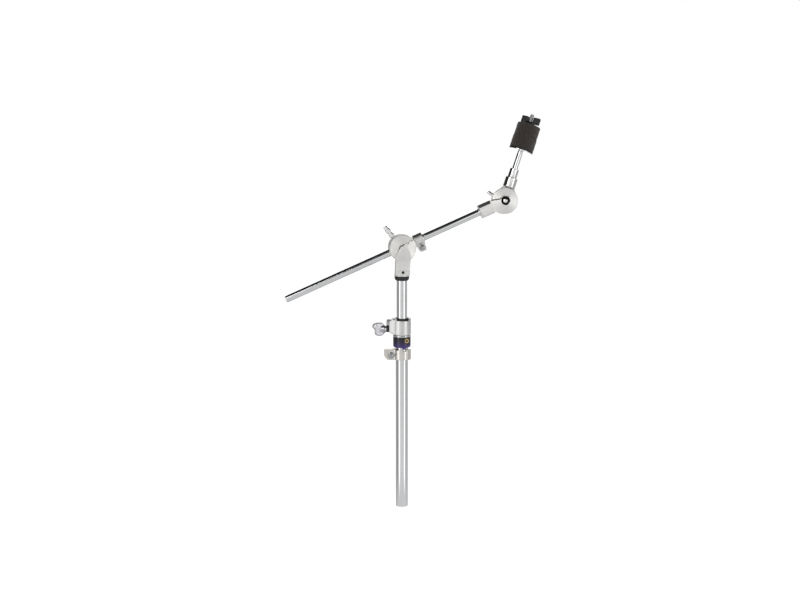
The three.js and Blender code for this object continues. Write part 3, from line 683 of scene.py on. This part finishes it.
def collar():
    low, high = 291.2, 310.4
    profile = softened([(11.4, low), (12.9, low), (14.9, low + 0.8), (15.75, low + 3), (15.75, high),
                        (11.4, high)], 0.5)
    body = lathe_field("Z", profile)
    key = block_field((-1, -14.6, low - 2.4), (5, -11.9, low + 2), 0.8)
    pocket = turned_field(rod_field("Y", 4.3, -25, -15, (304.3, 0)), 25, "Z")
    moulding = minus(0.3, union(0.8, body, key), pocket)
    mesh = carved(moulding, (-15.8, -15.8, low - 2.4), (15.8, 15.8, high), 0.4)
    place("clamp_collar_moulding", mesh, STAND, "lower_stand", INDIGO, "clamp_collar")
    ring = spun(softened([(2.2, -16.5), (4, -16.5), (4, -15.3), (2.2, -15.3)], 0.35), "Y", 48)
    where = STAND @ shift(0, 0, 304.3) @ turn(25, "Z")
    place("badge_ring_gold", ring, where, "lower_stand", GOLD, "badge_ring")


def trim_ring():
    mesh = spun(softened([(11.4, 310.7), (16.3, 310.7), (16.3, 313), (11.4, 313)], 0.7))
    place("clamp_trim_ring_turned", mesh, STAND, "lower_stand", POST_CHROME, "clamp_trim_ring")


def housing():
    low, high = 313.3, 343.5
    body = rod_field("Z", 16.2, low, high, k=2.2)
    lug_shape = [(0, high - 1), (-26.5, high - 1.4, 5), (-26.5, low + 7), (-19, low + 2.6, 2),
                 (0, low + 2.6)]
    lug = turned_field(plate_field(softened(lug_shape, 1), -8.5, 8.5, 1.4), CLAMP_TURN, "Z")
    tube_bore = rod_field("Z", 11.4, low - 9, 318.9)
    bush_bore = rod_field("Z", 12.2, 318.4, high + 9)
    bolt = turned_field(rod_field("X", 4.3, -60, -5, (0, CLAMP_Z)), CLAMP_TURN, "Z")
    notch = block_field((-10.8, -30, high - 3.6), (10.8, -6, high + 9), 1.0)
    cast = minus(0.6, union(3.0, body, lug), tube_bore, bush_bore, bolt, notch)
    mesh = carved(cast, (-28.5, -16.5, low), (16.3, 16.5, high), 0.45)
    place("clamp_housing_cast", mesh, STAND, "lower_stand", SATIN, "clamp_housing")


def bush():
    ring = minus(0.2, rod_field("Z", 11.9, 319.2, 343.3, k=0.5), rod_field("Z", 9.75, 300, 360))
    split = block_field((6, -0.6, 323.2), (20, 0.6, 360))
    mesh = carved(minus(0.2, ring, split), (-11.9, -11.9, 319.2), (11.9, 11.9, 343.3), 0.4)
    place("clamp_bush_moulding", mesh, STAND, "lower_stand", BLACK, "clamp_bush")


def clamp_bolt():
    face = -26.5
    pad = solid([(0, -15.4), (4, -15.4), (4, -12.5), (0, -12.5)], 0.4, "X", 48)
    place("clamp_pressure_pad_disc", pad, CLAMP, "clamp_pad", STEEL, "clamp_pressure_pad")
    washer = spun(softened([(4.3, face - 4.2), (4.9, face - 4.2), (5.0, face - 3), (6.2, face - 1.4),
                            (6.2, face - 0.3), (4.3, face - 0.3)], 0.25), "X", 64)
    place("clamp_bolt_washer_cone", washer, CLAMP, "clamp_washer", BLACK, "clamp_bolt_washer")
    near = face - 4.5
    hub = lathe_field("X", softened([(0, near - 9.5), (3.4, near - 9, 1.5), (6, near - 4, 1.5),
                                     (6, near, 0.5), (0, near)], 0.4, closed=False))
    wings = []
    for side, length in ((1, 24.6), (-1, 20.5)):
        shape = softened([(0.0, near - 1.5), (4 * side, near - 1.5), (9 * side, near - 3),
                          (11.8 * side, near - 8), (12 * side, near - length * 0.62),
                          (10.6 * side, near - length * 0.88), (7.6 * side, near - length),
                          (3.4 * side, near - length + 0.6), (0.0, near - 20.5)], 2.6, 5)
        wings.append(leaf(shape))
    bolt = union(2.2, hub, *wings)
    mesh = carved(bolt, (near - 24.8, -12.2, -6.2), (near, 12.2, 6.2), 0.4)
    shank = threaded(4, 0, 14.8, 1.25, 0.5, "X", tip=0.8)
    shank.transform(Matrix.Translation((-30.6, 0, 0)))
    where = CLAMP @ turn(85, "X")
    place("clamp_wing_bolt_cast", joined(mesh, shank), where, "clamp_bolt", WING_SATIN, "clamp_wing_bolt")


def leaf(shape):
    """A clamp-bolt wing in XY, thinner towards its rim."""
    def field(p):
        side = outline_distance(shape, p[..., 1], p[..., 0])
        thick = 1.7 - 0.7 * np.clip((side + 2.0) / 2.0, 0, 1)
        return blend_max(side, np.abs(p[..., 2]) - thick, 0.7)
    return field


# ---------- upper tube and boom holder ----------

def upper_tube():
    plug = solid([(0, 162), (8.6, 162), (9.6, 163), (9.6, 164.7), (7.9, 164.7), (7.9, 181), (6.6, 183),
                  (0, 183)], 0.3)
    place("upper_tube_plug_moulding", plug, STAND, "tube_slide", BLACK, "upper_tube_plug")
    mesh = spun(softened([(8.2, 165), (9.53, 165), (9.53, 439.7), (8.2, 439.7)], 0.3), segments=144)
    place("upper_tube_tube", mesh, STAND, "upper_stand", CHROME, "upper_tube")
    points = [(9.83, 410.7), (10.6, 410.7, 0.2), (12.4, 412.6, 1), (13.1, 415, 1), (13.1, 418.1),
              (9.83, 418.1)]
    ferrule = spun(softened(points, 0.4))
    place("bracket_ferrule_moulding", ferrule, STAND, "upper_stand", BLACK, "bracket_ferrule")


TONGUE = [(-13.2, -27), (-15.6, -17.6), (-11, -9), (-6.6, -1), (-5.2, 3.2), (-0.5, 4.6), (3.9, 9), (7, 5.6),
          (9.4, 9.6), (12, 12.6), (15.6, 12.4), (18.4, 16), (30, 26), (40, -27)]


def bracket():
    stem_profile = softened([(0, -50.6), (12.8, -50.6), (13.6, -50), (13.6, -48.2), (13.1, -47.5),
                             (12.95, -42.6), (12.3, -32.6, 9), (13.0, -25.5), (0, -22)], 0.5, closed=False)
    stem = lathe_field("Z", stem_profile)
    disc = rod_field("Y", DISC_R, -17.6, -8.4, k=1.0)
    web = plate_field([(-11.5, -40), (11.5, -40), (13.8, -20), (8, -8), (-8, -8), (-13.8, -20)], -17.6, -8.4,
                      2.5)
    lean = below((0, -1, -0.15), (0, -22.6, 2))
    apron_shape = [(-13.2, -12), (-12.9, -20), (-12.1, -32), (-12.7, -43), (-12.9, -47.4), (12.9, -47.4),
                   (12.7, -43), (12.1, -32), (12.9, -20), (13.2, -12)]
    stem_front = [(-12.5, -25.6), (-12.1, -32), (-12.7, -43), (-12.9, -47.4), (12.9, -47.4), (12.7, -43),
                  (12.1, -32), (12.5, -25.6)]
    apron = union(0.8, plate_field(apron_shape, -24, -8.4, 0.8), plate_field(stem_front, -24, -2, 0.8))
    outline = common(0.5, rod_field("Y", DISC_R - 0.2, -60, 60), plate_field(TONGUE, -60, 60, 0.4, 1.0))
    flank = below((0.42, -1, 0.0), (8.5, -22.6, 0))
    behind = below((0, 1, 0), (0, -10, 0))
    upper = common(0.5, outline, lean, flank, behind)
    crevice = common(0.3, shell_field(outline, 1.5), below((0, 1, 0), (0, -15.2, 0)),
                     below((0, -1, 0), (0, -24, 0)), below((0, 0, -1), (0, 0, -20)))
    body = minus(0.3, union(1.2, union(3.0, stem, web), disc), crevice)
    body = union(0.6, body, upper)
    body = union(1.0, body, common(1.0, apron, lean))
    tube_socket = rod_field("Z", 9.83, -60, -29)
    seat = rod_field("Y", 9.3, -12.3, 0)
    pocket = rod_field("Y", 7.1, -15.6, 0)
    screw_hole = rod_field("Y", 2.5, -30, -5, (-42.7, 0))
    casting = minus(0.5, body, tube_socket, seat, pocket, screw_hole)
    mesh = carved(casting, (-24, -22.8, -50.8), (24, 14, 24), 0.5)
    place("bracket_casting_cast", mesh, HOLDER, "upper_stand", BRUSHED, "bracket_casting")
    screw = minus(0.2, rod_field("Y", 2.2, -15.0, -9.9, k=0.4), rod_field("Y", 1.15, -20, -12.8))
    mesh = carved(screw, (-2.2, -15.0, -2.2), (2.2, -9.9, 2.2), 0.2)
    place("bracket_set_screw_turned", mesh, HOLDER @ shift(0, 0, -42.7), "set_screw", DARK_STEEL,
          "bracket_set_screw")
    nut = spun_ring(5.3, 9, -12, -8.7, 0.4, "Y", 48)
    place("hub_ring_nut_turned", nut, HOLDER, "upper_stand", STEEL, "hub_ring_nut")
    liner = spun_ring(9.6, 21, -8.1, -7.1, 0.1, "Y")
    place("holder_liner_disc", liner, HOLDER, "upper_stand", FIBRE, "holder_liner")


# ---------- tilting hub, boom rod and memory lock ----------

def hub():
    drum = rod_field("Y", DISC_R, -6.8, 13, k=2.0)
    boss = rod_field("Y", 13, 8, 18, k=1.4)
    rod_hole = rod_field("X", 6.65, -40, 40, (ROD_Y, 0))
    pocket = rod_field("Y", 9.8, -12, 11)
    shank = rod_field("Y", 4.3, 0, 30)
    casting = minus(0.6, union(2.5, drum, boss), rod_hole, pocket, shank)
    mesh = carved(casting, (-23.8, -6.8, -23.8), (23.8, 18, 23.8), 0.5)
    place("boom_hub_cast", mesh, TILT, "hub", BRUSHED, "boom_hub")
    stub = lathe_field("Y", [(0, -15.2), (4.6, -15.2), (5, -14.8), (5, -13.8), (4.2, -13.8), (4.2, -12.2),
                             (5, -12.2), (5, -6.5), (9.2, -6.5), (9.5, -6.2), (9.5, 10.4), (9.2, 10.7),
                             (0, 10.7)])
    eye = carved(minus(0.5, stub, rod_hole), (-9.6, -15.2, -9.6), (9.6, 10.7, 9.6), 0.4)
    tail = threaded(4, 10.5, 38, 1.25, 0.5, "Y")
    place("hub_eye_bolt_turned", joined(eye, tail), TILT, "hub", STEEL, "hub_eye_bolt")
    place("hub_snap_ring_turned", spun_ring(4.5, 6.8, -13.5, -12.5, 0.15, "Y", 48), TILT, "hub", STEEL,
          "hub_snap_ring")
    place("hub_washer_turned", spun_ring(4.3, 8.5, 18.3, 19.9, 0.25, "Y", 64), TILT, "hub_washer_body",
          STEEL, "hub_washer")
    mesh = wing_nut(8, 20.2, 13, 4.3, 22, 15, 43.5, 17, 10, ripple=0.13)
    place("hub_wing_nut_cast", mesh, TILT @ turn(-104, "Y") @ turn(-90, "X"), "hub_nut", WING_CHROME,
          "hub_wing_nut")


def wing_shape(reach, side, low, high, slim):
    """Outline of a wing in XZ: from a full block (slim 0) to an arm with a rounded paddle (slim 1)."""
    rise = (high - low) * 0.45 * slim
    corner = 1.2 + 1.8 * slim
    notch = high - (high - low) * (0.78 - 0.33 * slim)
    points = [(0, low), (reach * 0.5, low + rise * 0.3), (reach, low + rise, corner), (reach, high, corner),
              (reach * (0.32 + 0.33 * slim), high, 1 + slim), (reach * 0.3, notch, 1 + slim), (0, notch)]
    return softened([(side * p[0], *p[1:]) for p in points], 1.2, 5)


def wing_nut(hub_radius, base, height, bore, wing_base, rise, reach, short, width, slim=1.0, ripple=0.0):
    """A wing nut about Z whose two wings may differ in length and have ribbed sides."""
    top = base + height
    core = lathe_field("Z", softened([(0, base), (hub_radius, base), (hub_radius, base + height * 0.35),
                                      (hub_radius * 0.75, top - 0.4), (0, top)], 0.8, closed=False))
    high = base + rise
    wings = []
    for side, length in ((1, reach), (-1, short)):
        shape = wing_shape(length, side, wing_base, high, slim)
        wings.append(paddle(shape, width / 2, 0.45 * slim - ripple, ripple))
    hole = rod_field("Z", bore, base - 9, top + 9)
    nut = minus(0.5, union(2.4, core, *wings), hole)
    return carved(nut, (-short, -hub_radius, base), (reach, hub_radius, high), 0.45)


def paddle(shape, half, taper, ripple):
    """A wing that is thinner at its rim by a share of its thickness, with ribs across its sides."""
    spacing = 10.6

    def field(p):
        side = outline_distance(shape, p[..., 0], p[..., 2])
        inner = np.clip(-side / (0.6 * half), 0, 1)
        ribs = ripple * np.sin(TURN * np.abs(p[..., 0]) / spacing)
        thick = half * (1 - taper + taper * inner * (2 - inner) - ripple + ribs)
        return blend_max(side, np.abs(p[..., 1]) - thick, 0.9)
    return field


def boom_lock():
    left, right, tip = 24.4, 41, -21.3
    ring = rod_field("X", 11, left, right, k=1.2)
    ears = plate_field([(left + 2, 0), (left + 2, tip, 4), (right - 1.2, tip, 4), (right - 1.2, 0)], -7, 7,
                       1.0, 0.5)
    bore = rod_field("X", 6.65, left - 9, right + 9)
    slit = block_field((left - 9, -0.9, tip - 9), (right + 9, 0.9, 0))
    hole = rod_field("Y", 2.8, -20, 20, (-14.6, 33.2))
    band = minus(0.5, union(2.5, ring, ears), bore, slit, hole)
    mesh = carved(band, (left, -11.2, tip), (right, 11.2, 11.2), 0.4)
    place("boom_lock_band_cast", mesh, ROD, "boom_lock", LOCK_SATIN, "boom_lock_band")
    where = ROD @ shift(33.2, 0, -14.6)
    key_screw("boom_lock_screw_key", -12.8, -7.3, 13.4, 5.0, where, "boom_lock_key", "boom_lock_screw")
    hex_nut("boom_lock_nut_hex", 2.8, 5, 7.3, 11, where, "boom_lock_nut_body", "boom_lock_nut")


def knurled(low, high, radius, across, length, depth):
    """A tube wall of diamond knurling about X, open at both ends."""
    around = 2 * round(TURN * radius / across)
    along = 2 * round((high - low) / length)
    vertices = []
    for i in range(along + 1):
        x = low + (high - low) * i / along
        for k in range(around):
            groove = (i + k) % 2 == 0 or i in (0, along)
            r = radius - depth if groove else radius
            angle = TURN * k / around
            vertices.append((x, r * math.cos(angle), r * math.sin(angle)))
    faces = []
    for i in range(along):
        for k in range(around):
            a, b = i * around + k, i * around + (k + 1) % around
            c, d = a + around, b + around
            faces += [(a, c, d), (a, d, b)] if (i + k) % 2 == 0 else [(a, c, b), (c, d, b)]
    return vertices, faces


def boom_rod():
    low, split, high = -222.6, 44, 174.8
    grip_low, grip_high = low + 3, split
    grip = mesh_of(*knurled(grip_low, grip_high, ROD_R, 1.53, 2.65, 0.22), crease=180)
    plain = ROD_R - 0.22
    start = solid([(0, low), (plain, low), (plain, grip_low + 0.01), (0, grip_low + 0.01)], 0.2, "X", 96)
    rest = solid([(0, grip_high), (ROD_R - 0.02, grip_high), (ROD_R - 0.02, high), (0, high)], 0.6, "X", 128)
    place("boom_rod_knurled", joined(grip, start, rest), ROLL, "boom", ROD_CHROME, "boom_rod")
    cap = solid([(0, -223.8), (4.2, -223.8, 0.6), (6.15, -222.9, 0.3), (0, -222.9)], 0.2, "X", 96)
    place("boom_end_cap_turned", cap, ROLL, "boom", ROD_CHROME, "boom_end_cap")


# ---------- cymbal tilter ----------

def socket():
    left, right, half, front, back = -48.6, -25.2, 12.3, -13.5, 9.5
    bevel = 4.4

    def block(p):
        u, v = p[..., 1], p[..., 2]
        section = softened([(front + 6.5, half), (front, half - 6), (front, -1.5),
                            (front + 1.1, -half + bevel), (front + bevel, -half), (back - bevel, -half),
                            (back, -half + bevel), (back, half - bevel), (back - bevel, half)], 0.5)
        side = outline_distance(section, u, v)
        end = np.abs(p[..., 0] - (left + right) / 2) - (right - left) / 2
        return blend_max(side, end, 1.0)

    disc = rod_field("Y", 23.5, -11, -5, k=1.4)
    arm = plate_field([(right - 1, half - 0.6), (-8, 6.4), (0, 8.6), (8, 4), (8, -4), (0, -8.6), (-8, -9),
                       (right - 1, -half + 0.6)], front, -5, 1.6, 2)
    cast = union(2.0, union(1.2, block, arm), disc)
    rod_bore = rod_field("X", 6.65, left - 9, right + 9)
    clear = block_field((right, -5, -30), (30, 30, 30), 0.5)
    recess = rod_field("Y", 7.8, -30, -8.9)
    shank = rod_field("Y", 4.3, -30, 30)
    pin_hole = rod_field("Z", 2.3, -30, 30, (-38, 0))
    cut = minus(0.6, cast, rod_bore, clear, recess, shank, pin_hole)
    mesh = carved(cut, (left, front, -23.6), (23.6, back, 23.6), 0.5)
    place("tilter_socket_cast", mesh, TILTER, "boom", SHADED_RECESS, "tilter_socket")
    pin = solid([(0, -11.6), (2, -11.6), (2, 11.6), (0, 11.6)], 0.3, "Z", 32)
    place("socket_pin_turned", pin, TILTER @ shift(-38, 0, 0), "boom", STEEL, "socket_pin")
    liner = spun_ring(4.6, 20, -4.7, -3.7, 0.1, "Y")
    place("tilter_liner_disc", liner, TILTER, "boom", FIBRE, "tilter_liner")
    seat = front + 4.3
    head = solid([(0, seat - 4.6), (2, seat - 4.45, 1), (3.8, seat - 3.4, 1), (4.75, seat - 2, 1),
                  (4.75, seat), (4, seat), (4, 8), (0, 8)], 0.15, "Y", 72)
    tail = threaded(4, 7.9, 28, 1.25, 0.5, "Y")
    place("tilter_pivot_bolt_turned", joined(head, tail), TILTER, "boom", POLISHED, "tilter_pivot_bolt")
    place("tilter_washer_turned", spun_ring(4.3, 8.5, 9.8, 11.3, 0.25, "Y", 64), TILTER,
          "tilter_washer_body", STEEL, "tilter_washer")
    mesh = wing_nut(7, 11.6, 12, 4.3, 15.6, 13.8, 32, 14, 6)
    place("tilter_wing_nut_cast", mesh, TILTER @ turn(-121.5, "Y") @ turn(-90, "X"), "tilter_nut",
          WING_CHROME, "tilter_wing_nut")


def head_casting():
    disc = rod_field("Y", 23.1, -3.4, 9.5, k=1.6)
    neck = plate_field([(-22.1, 4), (-10.6, 25.2), (10.6, 25.2), (22.1, 4)], -3.4, 9.5, 1.6, 0.6)
    post_hole = rod_field("Z", 5.3, 14, 60, (0, POST_Y))
    shank = rod_field("Y", 4.3, -30, 30)
    casting = minus(0.5, union(1.5, disc, neck), post_hole, shank)
    mesh = carved(casting, (-23.2, -3.4, -23.2), (23.2, 9.5, 25.2), 0.5)
    place("tilter_body_cast", mesh, HEAD, "cymbal_holder", BRUSHED, "tilter_body")


# ---------- cymbal post ----------

def post():
    holder = "cymbal_holder"
    collar_mesh = spun(softened([(5.3, 25.5), (11, 25.5), (11, 43.4), (5.3, 43.4)], 0.9))
    place("post_collar_turned", collar_mesh, POST, holder, TURNED, "post_collar")
    nut = spun(softened([(5.3, 43.7), (8.15, 43.7), (8.15, 59.8), (5.3, 59.8)], 0.7))
    place("post_lock_nut_turned", nut, POST, holder, TURNED, "post_lock_nut")
    foot = solid([(0, 14.3), (5, 14.3), (5, 58), (0, 58)], 0.25, segments=96)
    shank = threaded(5, 57.9, 92.8, 1.5, 0.12, segments=72, tip=0.4)
    stem = solid([(0, 92), (3.9, 92), (3.9, 138), (0, 138)], 0.1, segments=72)
    tip = threaded(3.9, 137.5, 162, 1.25, 0.5, tip=1.2)
    place("cymbal_post_turned", joined(foot, shank, stem, tip), POST, holder, POST_CHROME, "cymbal_post")
    washer = spun_ring(4.2, 21, 93.1, 94.3, 0.35)
    place("seat_washer_turned", washer, POST, holder, POST_CHROME, "seat_washer")
    cup = spun_ring(4.2, 21.6, 94.6, 96.6, 0.6)
    place("seat_cup_moulding", cup, POST, holder, BLACK, "seat_cup")
    sleeve = spun_ring(4.2, 6, 96.9, 139, 0.3, segments=64)
    place("post_sleeve_moulding", sleeve, POST, holder, NATURAL, "post_sleeve")
    lower = place("lower_felt_pad", felt_mesh(96.9, 119.4, 21.7, 1.2, 0.9), POST, holder, FELT, "lower_felt")
    upper = place("upper_felt_pad", felt_mesh(119.7, 142.6, 21.1, 0.9, 2.2), POST, "top_felt", FELT,
                  "upper_felt")
    place("nut_washer_turned", spun_ring(4.2, 8.5, 142.9, 144.1, 0.25, segments=64), POST, "nut_washer_body",
          STEEL, "nut_washer")
    mesh = wing_nut(6.4, 144.4, 4.2, 4.2, 145.3, 13.1, 17.5, 17.5, 6.4, 0.0)
    place("cymbal_wing_nut_cast", mesh, POST @ turn(-35, "Z"), "cymbal_nut", WING_DARK, "cymbal_wing_nut")


def felt_mesh(low, high, radius, low_edge, high_edge):
    """A pressed felt ring with softened edges and an uneven, fibrous skin."""
    bore, fine = 6.3, 0.55
    corners = softened([(bore, low, 0.4), (radius, low, low_edge), (radius, high, high_edge),
                        (bore, high, 0.4)], 0.5, 6)
    profile = []
    for (r0, h0), (r1, h1) in zip(corners, corners[1:] + corners[:1]):
        steps = max(1, int(math.hypot(r1 - r0, h1 - h0) / fine))
        profile += [(r0 + (r1 - r0) * k / steps, h0 + (h1 - h0) * k / steps) for k in range(steps)]
    centre_r, centre_h = (bore + radius) / 2, (low + high) / 2
    waves = RNG.uniform(0, TURN, 6)

    def wobble(r, h, angle):
        skin = RNG.uniform(0, 0.16)
        slow = 0.12 * (1 + math.sin(3 * angle + waves[0]) * math.sin(h * 0.5 + waves[1]))
        slow += 0.07 * (1 + math.sin(7 * angle + waves[2] + h * 0.9))
        inward = skin + slow
        pull_r = inward if r > centre_r + 6 else 0
        pull_h = inward * 0.8 if abs(h - low) < 0.6 or abs(h - high) < 0.6 else 0
        return r - pull_r, h - math.copysign(pull_h, h - centre_h)

    return spun(profile, segments=220, crease=180, wobble=wobble)


# ---------- studio ----------

VIEW_AZIMUTH, VIEW_DROP, VIEW_DISTANCE = 8.0, 8.0, 2.2
AIM = (-0.00335, 0.0, 0.3757)
FOCAL, SENSOR = 55.9, 36.0


def camera():
    azimuth, drop = math.radians(VIEW_AZIMUTH), math.radians(VIEW_DROP)
    forward = Vector((math.cos(drop) * math.sin(azimuth), math.cos(drop) * math.cos(azimuth),
                      -math.sin(drop)))
    data = bpy.data.cameras.new("camera")
    data.lens, data.sensor_width = FOCAL, SENSOR
    data.clip_end = 50
    item = bpy.data.objects.new("camera", data)
    bpy.context.scene.collection.objects.link(item)
    item.location = Vector(AIM) - VIEW_DISTANCE * forward
    item.rotation_euler = forward.to_track_quat("-Z", "Y").to_euler()
    bpy.context.scene.camera = item
    return forward


def by_degrees(table):
    """Ramp stops from a table of [degrees, level]."""
    return [((degrees + 180) / 360, level) for degrees, level in table]


def studio_world(forward):
    """A room of soft boxes and dark flags around the camera's direction, white to the eye."""
    world = bpy.data.worlds.new("studio")
    bpy.context.scene.world = world
    world.use_nodes = True
    world.node_tree.nodes.clear()
    nodes = Nodes(world)
    direction = nodes.new("ShaderNodeTexCoord").outputs["Generated"]
    toward = Vector((-forward.x, -forward.y, 0)).normalized()
    right = Vector((-toward.y, toward.x, 0))
    components = []
    for axis in (right, toward):
        dot = nodes.new("ShaderNodeVectorMath", operation="DOT_PRODUCT")
        nodes.link(direction, dot.inputs[0])
        dot.inputs[1].default_value = axis
        components.append(dot.outputs["Value"])
    around = nodes.math("ADD", nodes.math("DIVIDE", nodes.math("ARCTAN2", *components), TURN), 0.5)
    height = nodes.parts(direction)["Z"]
    share = nodes.math("MULTIPLY_ADD", height, 0.5, 0.5)
    hidden = nodes.math("MULTIPLY", nodes.ramp(around, *by_degrees(FLAG_AROUND)),
                        nodes.ramp(share, *FLAG_UPWARD))
    level = nodes.math("MULTIPLY", nodes.ramp(share, *UPWARD), nodes.math("SUBTRACT", 1.0, hidden))
    lit = nodes.vector("MULTIPLY", nodes.ramp(around, *by_degrees(AROUND)), level)
    total = nodes.vector("ADD", lit, nodes.ramp(nodes.math("ADD", height, 0.5), *FLOORWARD))
    seen = nodes.new("ShaderNodeBackground")
    seen.inputs["Color"].default_value = (1, 1, 1, 1)
    room = nodes.new("ShaderNodeBackground")
    room.inputs["Strength"].default_value = ROOM_LEVEL
    nodes.link(total, room.inputs["Color"])
    choose = nodes.new("ShaderNodeMixShader")
    nodes.link(nodes.new("ShaderNodeLightPath").outputs["Is Camera Ray"], choose.inputs[0])
    nodes.link(room.outputs[0], choose.inputs[1])
    nodes.link(seen.outputs[0], choose.inputs[2])
    nodes.link(choose.outputs[0], nodes.new("ShaderNodeOutputWorld").inputs["Surface"])


ROOM_LEVEL = 1.0
# Brightness of the room at eye level, by degrees to the right of the camera's direction.
AROUND = [(-180, 1.4), (-172, 1.3), (-165, 0.60), (-146, 0.58), (-118, 0.36), (-92, 0.32), (-62, 0.36),
          (-57, 1.9), (-41, 1.9), (-35, 0.76), (10, 0.68), (24, 0.60), (37, 0.50), (41, 1.9), (56, 1.9),
          (61, 0.66), (90, 0.46), (130, 0.54), (165, 0.60), (172, 1.3), (180, 1.4)]
# Share of that brightness from straight down (0) over the horizon (0.5) to straight up (1).
UPWARD = [(0.0, 0.0), (0.30, 0.0), (0.335, 1.0), (0.48, 0.90), (0.52, 1.18), (0.66, 1.18), (0.77, 0.2),
          (0.86, 0.06), (1.0, 0.05)]
# A dark flag to the left, above eye level: how much it hides, by direction and by height.
FLAG_AROUND = [(-180, 0.0), (-152, 0.0), (-144, 0.92), (-52, 0.92), (-44, 0.0), (180, 0.0)]
FLAG_UPWARD = [(0.0, 0.0), (0.510, 0.0), (0.540, 1.0), (1.0, 1.0)]
# The white floor, added below the horizon.
FLOORWARD = [(0.0, 0.66), (0.10, 0.66), (0.17, 0.0), (1.0, 0.0)]


def soft_light(name, size, position, level):
    """A square soft box aimed at the object; its level is a surface brightness."""
    data = bpy.data.lights.new(name, "AREA")
    data.shape, data.size = "SQUARE", size
    data.energy = level * math.pi * size * size
    item = bpy.data.objects.new(name, data)
    bpy.context.scene.collection.objects.link(item)
    item.location = position
    aim = Vector((0, 0, 0.45)) - item.location
    item.rotation_euler = aim.to_track_quat("-Z", "Y").to_euler()
    item.visible_camera = False
    return item


def floor():
    mesh = bpy.data.meshes.new("floor")
    reach, level = 30.0, -0.9
    mesh.from_pydata([(-reach, -reach, level), (reach, -reach, level), (reach, reach, level),
                      (-reach, reach, level)], [], [(0, 1, 2, 3)])
    nodes = finish_nodes("pale floor")
    nodes.set(rough=0.9, color=nodes.ramp(nodes.noise(3, 3), (0.3, 0.86), (0.7, 0.9)))
    nodes.shader.inputs["Emission Color"].default_value = (1, 1, 1, 1)
    nodes.shader.inputs["Emission Strength"].default_value = 0.93
    mesh.materials.append(nodes.owner)
    item = bpy.data.objects.new("floor", mesh)
    bpy.context.scene.collection.objects.link(item)
    item.visible_glossy = False
    item.visible_diffuse = False


def studio():
    forward = camera()
    studio_world(forward)
    soft_light("key", 1.2, (-1.5, -1.7, 1.9), 3.2)
    soft_light("fill", 0.9, (0.42, -1.96, 1.43), 0.45)
    floor()
    view = bpy.context.scene.view_settings
    view.view_transform = "Standard"
    view.look = "None"


def build():
    lower_tube()
    tube_lock()
    collar()
    trim_ring()
    housing()
    bush()
    clamp_bolt()
    upper_tube()
    bracket()
    hub()
    boom_lock()
    boom_rod()
    socket()
    head_casting()
    post()
    studio()


build()
